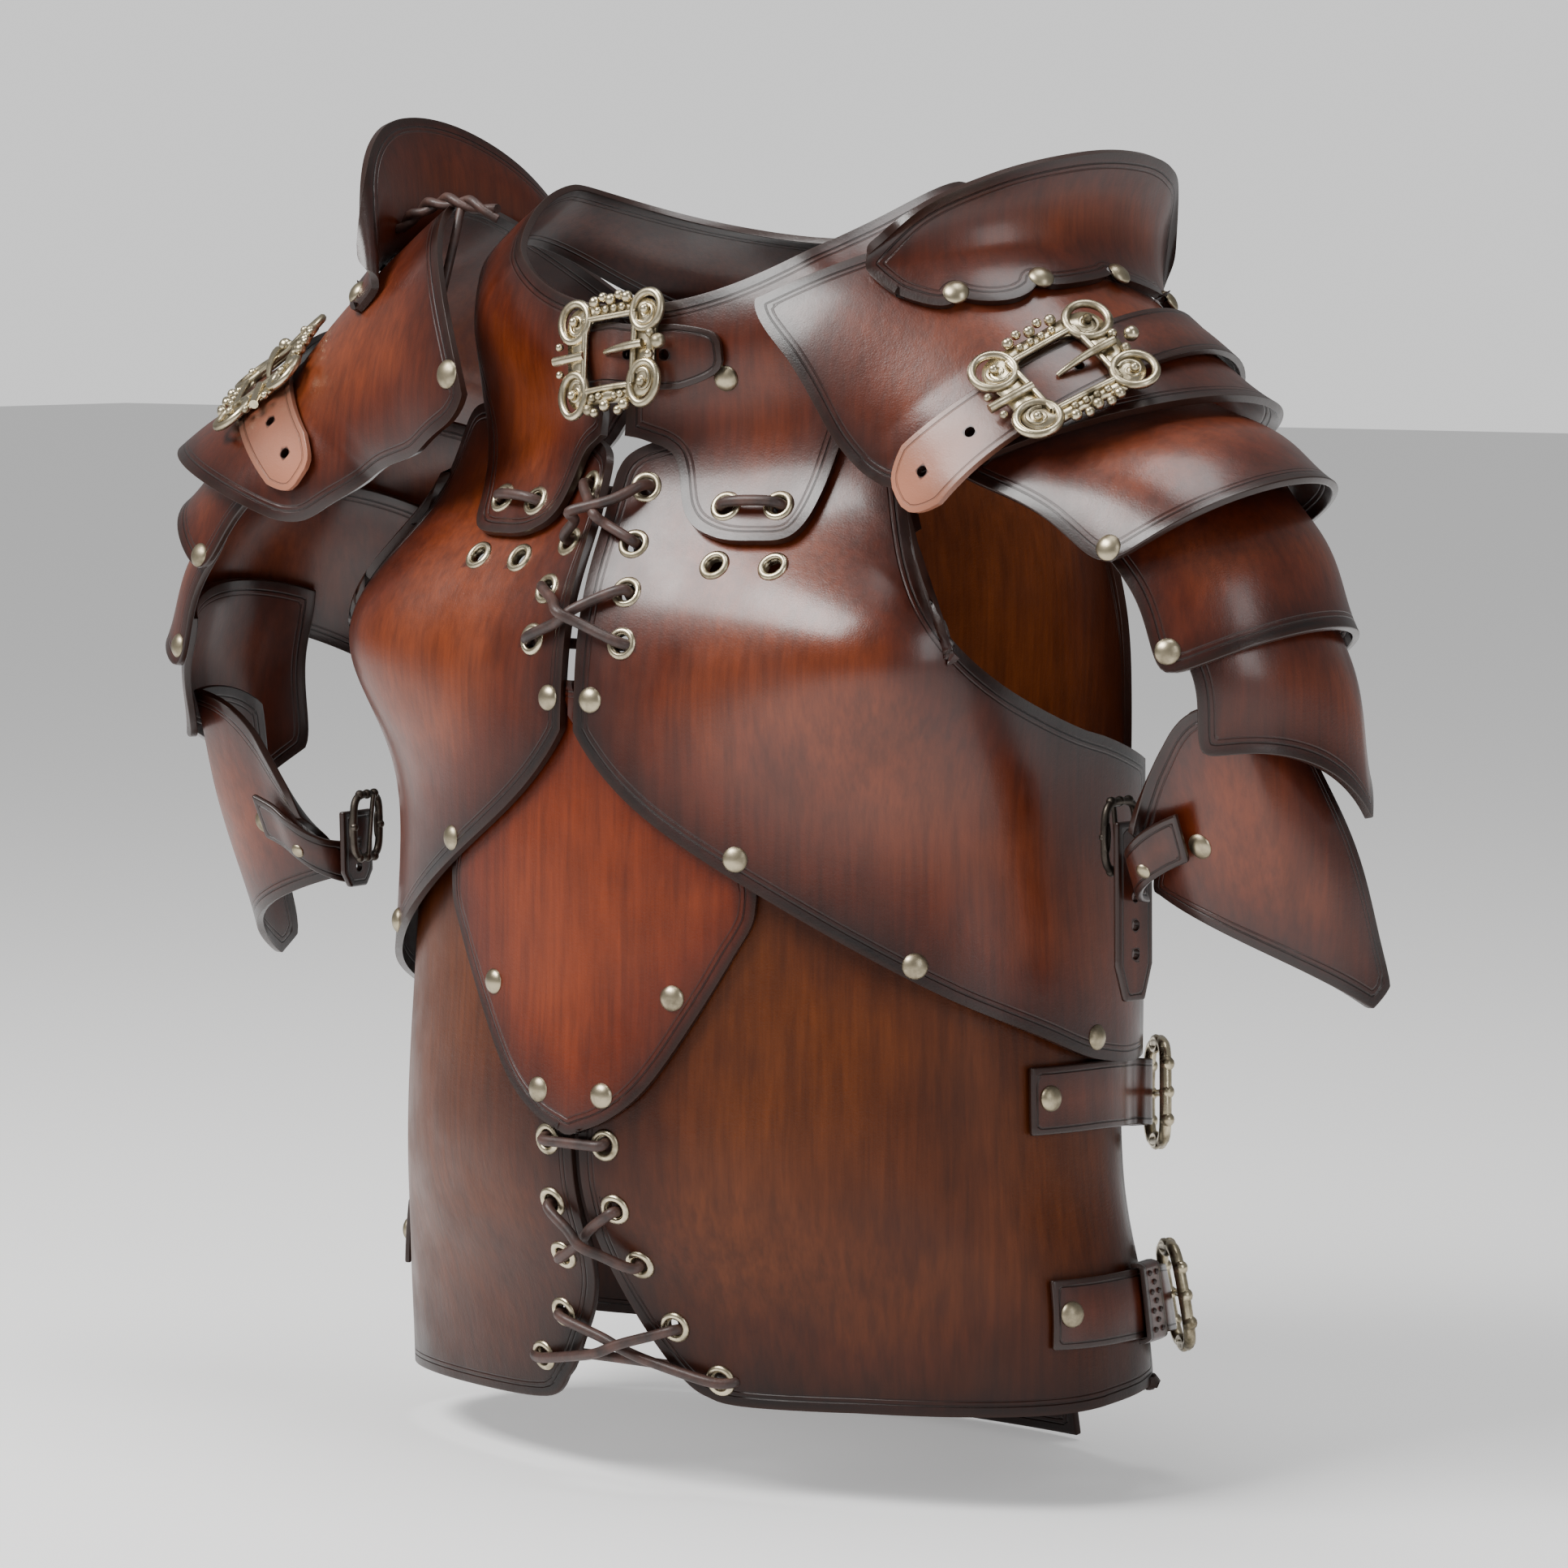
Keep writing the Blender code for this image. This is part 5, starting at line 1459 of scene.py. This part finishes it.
def lay_on(form, route, along, side, proud, slide=0.0):
    """A function that lays distances along and aside of a strap's place, and a height, on the strap."""
    settle = at_shoulder if form is on_shoulder else mirrored
    turn, level, lift, toward, aside = strap_frame(form, route, along, slide)

    def on_strap(ahead, over, height):
        def stand(at_level):
            return proud(at_level) + lift + height

        return beside(form, turn, level, stand, toward, aside, ahead, over)

    middle = on_strap(0.0, 0.0, 0.0)
    chord = (on_strap(BUCKLE_CHORD, 0.0, 0.0) - on_strap(-BUCKLE_CHORD, 0.0, 0.0)).normalized()
    across = on_strap(0.0, BUCKLE_CHORD, 0.0) - on_strap(0.0, -BUCKLE_CHORD, 0.0)
    across = (across - chord * across.dot(chord)).normalized()
    outward = chord.cross(across)

    def lay(ahead, over, height):
        level_place = middle + chord * ahead + across * over + outward * height
        return settle(on_strap(ahead, over, height).lerp(level_place, BUCKLE_STIFFNESS), side)

    return lay


def dress_keepers():
    """A leather loop over each lower side strap, pressed with a diamond of drops."""
    drops = []
    for side, word in SIDES:
        lay = lay_on(on_torso, SIDE_STRAPS["lower"], KEEPER_PLACE, side, over_belly)

        def place(along, across, lay=lay):
            over = 2 * across - 1
            drop = max(abs(over) - KEEPER_BEND, 0.0) / (1.0 - KEEPER_BEND)
            aside = KEEPER_WIDTH / 2 * min(abs(over), KEEPER_STOP) * (1 if over > 0 else -1)
            return lay(KEEPER_LENGTH * (along - 0.5), aside, KEEPER_LIFT - KEEPER_DROP * drop)

        leather_skin(
            f"side_keeper_{word}", place, (18, 34), STRAP_HIDE, side == RIGHT, thickness=0.0018, spread=0.008,
            swell=0.0,
        )
        for row in (-1, 0, 1):
            for step in range(-3, 4):
                if (row + step) % 2 == 0:
                    place_of_drop = lay(row * DROP_SPACING[0], step * DROP_SPACING[1], KEEPER_LIFT)
                    drops.append(bead(place_of_drop, DROP_RADIUS))
    add_piece("keeper_drops", joined("keeper_drops", drops), STRAP_FINISH)


def hang_at(ahead, over, height, side):
    """Lays distances down and aside of the arm buckle's place, and a height, by the arm."""
    middle = at_sleeve(ARM_BUCKLE_SEAT, side)
    outward = Vector((-1.0, 0.1, 0.0)).normalized() * height
    return mirrored(middle + Vector(ARM_END_ASIDE) * over + Vector((0.0, 0.0, ahead)) + outward, side)


def dress_buckles():
    big = {}
    for side, word in SIDES:
        lay = lay_on(
            on_shoulder, PAULDRON_STRAP, PAULDRON_BUCKLE_PLACE, side, partial(over_cap, side=side),
            cap_slide(side),
        )
        big[f"pauldron_buckle_{word}"] = (lay, PAULDRON_BUCKLE)
    lay = lay_on(on_torso, GORGET_STRAP, GORGET_BUCKLE_PLACE, LEFT, over_gorget)
    big["gorget_buckle"] = (lay, GORGET_BUCKLE)
    for node, (lay, size) in big.items():
        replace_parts(add_piece(f"{node}_casting", joined(node, cast_buckle(lay, size)), BRASS), node)
    arm_size = (ARM_BUCKLE[1] + 2 * ARM_BUCKLE_WIRE, ARM_BUCKLE[0] + 2 * ARM_BUCKLE_WIRE)
    for side, word in SIDES:
        for height, route in SIDE_STRAPS.items():
            node = f"side_buckle_{height}_{word}"
            lay = lay_on(on_torso, route, SIDE_BUCKLE_PLACE, side, over_belly)
            shape = joined(node, plain_buckle(lay, SIDE_BUCKLE, SMALL_BUCKLE_WIRE))
            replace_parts(add_piece(f"{node}_casting", shape, BRASS), node)
        node = f"arm_buckle_{word}"
        shape = joined(node, plain_buckle(partial(hang_at, side=side), arm_size, ARM_BUCKLE_WIRE))
        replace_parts(add_piece(f"{node}_finish", shape, IRON), node)


# Laces, eyelets and rivets


def rounded(points, steps=4):
    """More points on a smooth closed line through the given ones."""
    ring = [tuple(point) for point in points]
    out = []
    count = len(ring)
    for index in range(count):
        four = [ring[(index + step) % count] for step in (-1, 0, 1, 2)]
        for step in range(steps):
            out.append(Vector(table_at(four, (1 + step / steps) / 3)))
    return out


def dress_laces():
    laces = {
        "chest_lace": lace_points(CHEST_EYELETS, CHEST_ROUTE, 0.0),
        "belly_lace": lace_points(BELLY_EYELETS, BELLY_ROUTE, -2 * LAYER),
    }
    outside = LAYER + LACE_WIRE + LACE_LIFT
    inside = -LEATHER - LACE_WIRE - LACE_LIFT
    for side, word in SIDES:
        points = []
        rows = [(turn + TAB_SHIFT[side], level) for turn, level in TAB_EYELETS]
        for (turn, level), heights in zip(rows, ((inside, outside), (outside, inside))):
            points += [mirrored(on_torso(turn, level, height), side) for height in heights]
        laces[f"tab_lace_{word}"] = points
    for name, points in laces.items():
        mesh = rod(name, rounded(points), LACE_WIRE, closed=True, around=3, smooth=2)
        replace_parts(add_piece(f"{name}_finish", mesh, CORD), name)


def dress_fittings():
    eyelets = []
    for side, _word in SIDES:
        shift = TAB_SHIFT[side]
        eyelets += [seat_on_torso(turn, level, 0.0, side) for turn, level in CHEST_EYELETS]
        eyelets += [seat_on_torso(turn + shift, level, 0.0, side) for turn, level in UNDER_TAB_EYELETS]
        eyelets += [seat_on_torso(turn + shift, level, LAYER, side) for turn, level in TAB_EYELETS]
        eyelets += [seat_on_torso(turn, level, -2 * LAYER, side) for turn, level in BELLY_EYELETS]
    add_piece("eyelets", lathe(EYELET, eyelets), BRASS)
    rivets = []
    strap_face = -2 * LAYER + STRAP_GAP + STRAP_LEATHER
    for side, _word in SIDES:
        for places, proud in (
            (BREAST_RIVETS, 0.0), (SHIELD_RIVETS, -LAYER), (STRAP_RIVETS, strap_face - STRAP_RIVET_SINK),
        ):
            rivets += [seat_on_torso(turn, level, proud, side) for turn, level in places]
    rivets.append(seat_on_torso(*GORGET_RIVET, LAYER, LEFT))
    add_piece("torso_rivets", lathe(RIVET, rivets), STUD)
    for side, word in SIDES:
        turned = side == RIGHT
        along, across, size = ARM_STUD
        band = partial(arm_band_point, side=side)
        studs = [seat_between(band, along, turned, across) @ Matrix.Scale(size, 4)]
        guard = partial(guard_point, side=side)
        for share in GUARD_RIVETS[side]:
            studs.append(seat_between(guard, share, turned, GUARD_RIVET_HEIGHT))
        if turned:
            along, across, size = CAP_KNOB
            cap = partial(cap_point, side=side)
            studs.append(seat_between(cap, along, True, across) @ Matrix.Scale(size, 4))
        for index, turn, down in LAME_RIVETS:
            row = LAMES[index]
            across = (turn - row[REAR]) / (row[FRONT] - row[REAR])
            lame = partial(lame_place, side=side, index=index)
            studs.append(seat_between(lame, down, side == LEFT, across))
        add_piece(f"shoulder_rivets_{word}", lathe(RIVET, studs), STUD)


def tie_shoulder_thong():
    """The thong tied through the wearer's right guard: a twisted loop, and an end that hangs in front."""
    guard = guard_point(*THONG_HOLE, RIGHT) + Vector((0.005, -0.004, 0.0))
    rim = mirrored(on_torso(*THONG_RIM, 1.6 * LAYER), RIGHT)
    strands = []
    for turn in (0.0, math.pi):
        points = []
        for step in range(THONG_STEPS + 1):
            share = step / THONG_STEPS
            angle = turn + THONG_TWIST * math.pi * share
            middle = guard.lerp(rim, share) + Vector((0.0, -0.004, 0.008)) * math.sin(math.pi * share)
            points.append(middle + Vector((0.0, math.cos(angle), math.sin(angle))) * THONG_SPREAD)
        strands.append(rod("strand", points, THONG, around=2, smooth=3))
    knot = rim.lerp(guard, 0.30) + Vector((0.0, -0.004, 0.004))
    hang = [knot]
    for level, turn in THONG_END:
        hang.append(mirrored(on_torso(turn, level, 2.6 * LAYER), RIGHT))
    strands.append(rod("hanging_end", hang, THONG, around=2, smooth=3))
    strands.append(bead(hang[-1], THONG_KNOT))
    add_piece("shoulder_thong", joined("thong", strands), CORD)


# The room: a pale floor, soft light and the camera

CAMERA_TURN = 38.0
CAMERA_RISE = 5.0
CAMERA_REACH = 2.4
LOOK_AT = Vector((0.0063, 0.0049, -0.232))
LENS = 139.75
ROOM_LIGHT = 0.26
BACKDROP_LIGHT = 1.0
WINDOWS_FACE = Vector((0.0, 0.0, -0.15))
# Windows of soft light: place, size, watts, colour
WINDOWS = (
    ("key_window", (-0.55, -1.20, 1.20), (1.2, 0.75), 56.0, (1.0, 0.99, 0.975)),
    ("top_window", (0.25, 0.05, 1.8), (0.9, 0.9), 20.0, (1.0, 1.0, 1.0)),
    ("side_window", (1.9, -0.5, 0.45), (0.5, 1.1), 9.0, (0.97, 0.985, 1.0)),
)
FLOOR_REACH = 12.0
FLOOR_GAP = 0.001
FLOOR_GLOW = 0.30


def add_softbox(name, place, size, watts, colour):
    lamp = bpy.data.lights.new(name, "AREA")
    lamp.shape = "RECTANGLE"
    lamp.size, lamp.size_y = size
    lamp.energy = watts
    lamp.color = colour
    box = bpy.data.objects.new(name, lamp)
    box.matrix_world = seat(Vector(place), Vector(place) - WINDOWS_FACE)
    bpy.context.scene.collection.objects.link(box)


def set_room():
    turn, rise = math.radians(CAMERA_TURN), math.radians(CAMERA_RISE)
    back = Vector((math.sin(turn) * math.cos(rise), -math.cos(turn) * math.cos(rise), math.sin(rise)))
    lens = bpy.data.cameras.new("camera")
    lens.lens = LENS
    lens.sensor_width = 36.0
    lens.clip_end = 50.0
    eye = bpy.data.objects.new("camera", lens)
    eye.matrix_world = seat(LOOK_AT + back * CAMERA_REACH, back)
    bpy.context.scene.collection.objects.link(eye)
    bpy.context.scene.camera = eye
    floor = bmesh.new()
    bmesh.ops.create_grid(floor, x_segments=1, y_segments=1, size=FLOOR_REACH)
    mesh = bpy.data.meshes.new("floor")
    floor.to_mesh(mesh)
    floor.free()
    made, _tree, shader = start_finish("pale_floor")
    shader.inputs["Base Color"].default_value = (0.88, 0.88, 0.88, 1.0)
    shader.inputs["Roughness"].default_value = 0.9
    shader.inputs["Emission Color"].default_value = (1.0, 1.0, 1.0, 1.0)
    shader.inputs["Emission Strength"].default_value = FLOOR_GLOW
    mesh.materials.append(made)
    mesh.transform(Matrix.Translation((0.0, 0.0, cad_box[0][2] - FLOOR_GAP)))
    ground = bpy.data.objects.new("floor", mesh)
    bpy.context.scene.collection.objects.link(ground)
    world = bpy.data.worlds.new("studio")
    world.use_nodes = True
    tree = world.node_tree
    sky = tree.nodes["Background"]
    sky.inputs["Color"].default_value = (1.0, 1.0, 1.0, 1.0)
    seen = tree.nodes.new("ShaderNodeLightPath").outputs["Is Camera Ray"]
    tree.links.new(spread_over(tree, seen, 0.0, 1.0, ROOM_LIGHT, BACKDROP_LIGHT), sky.inputs["Strength"])
    bpy.context.scene.world = world
    for window in WINDOWS:
        add_softbox(*window)


dress_torso()
dress_gorget()
dress_shoulders()
dress_straps()
dress_arm_straps()
dress_keepers()
dress_buckles()
dress_laces()
dress_fittings()
tie_shoulder_thong()
set_room()
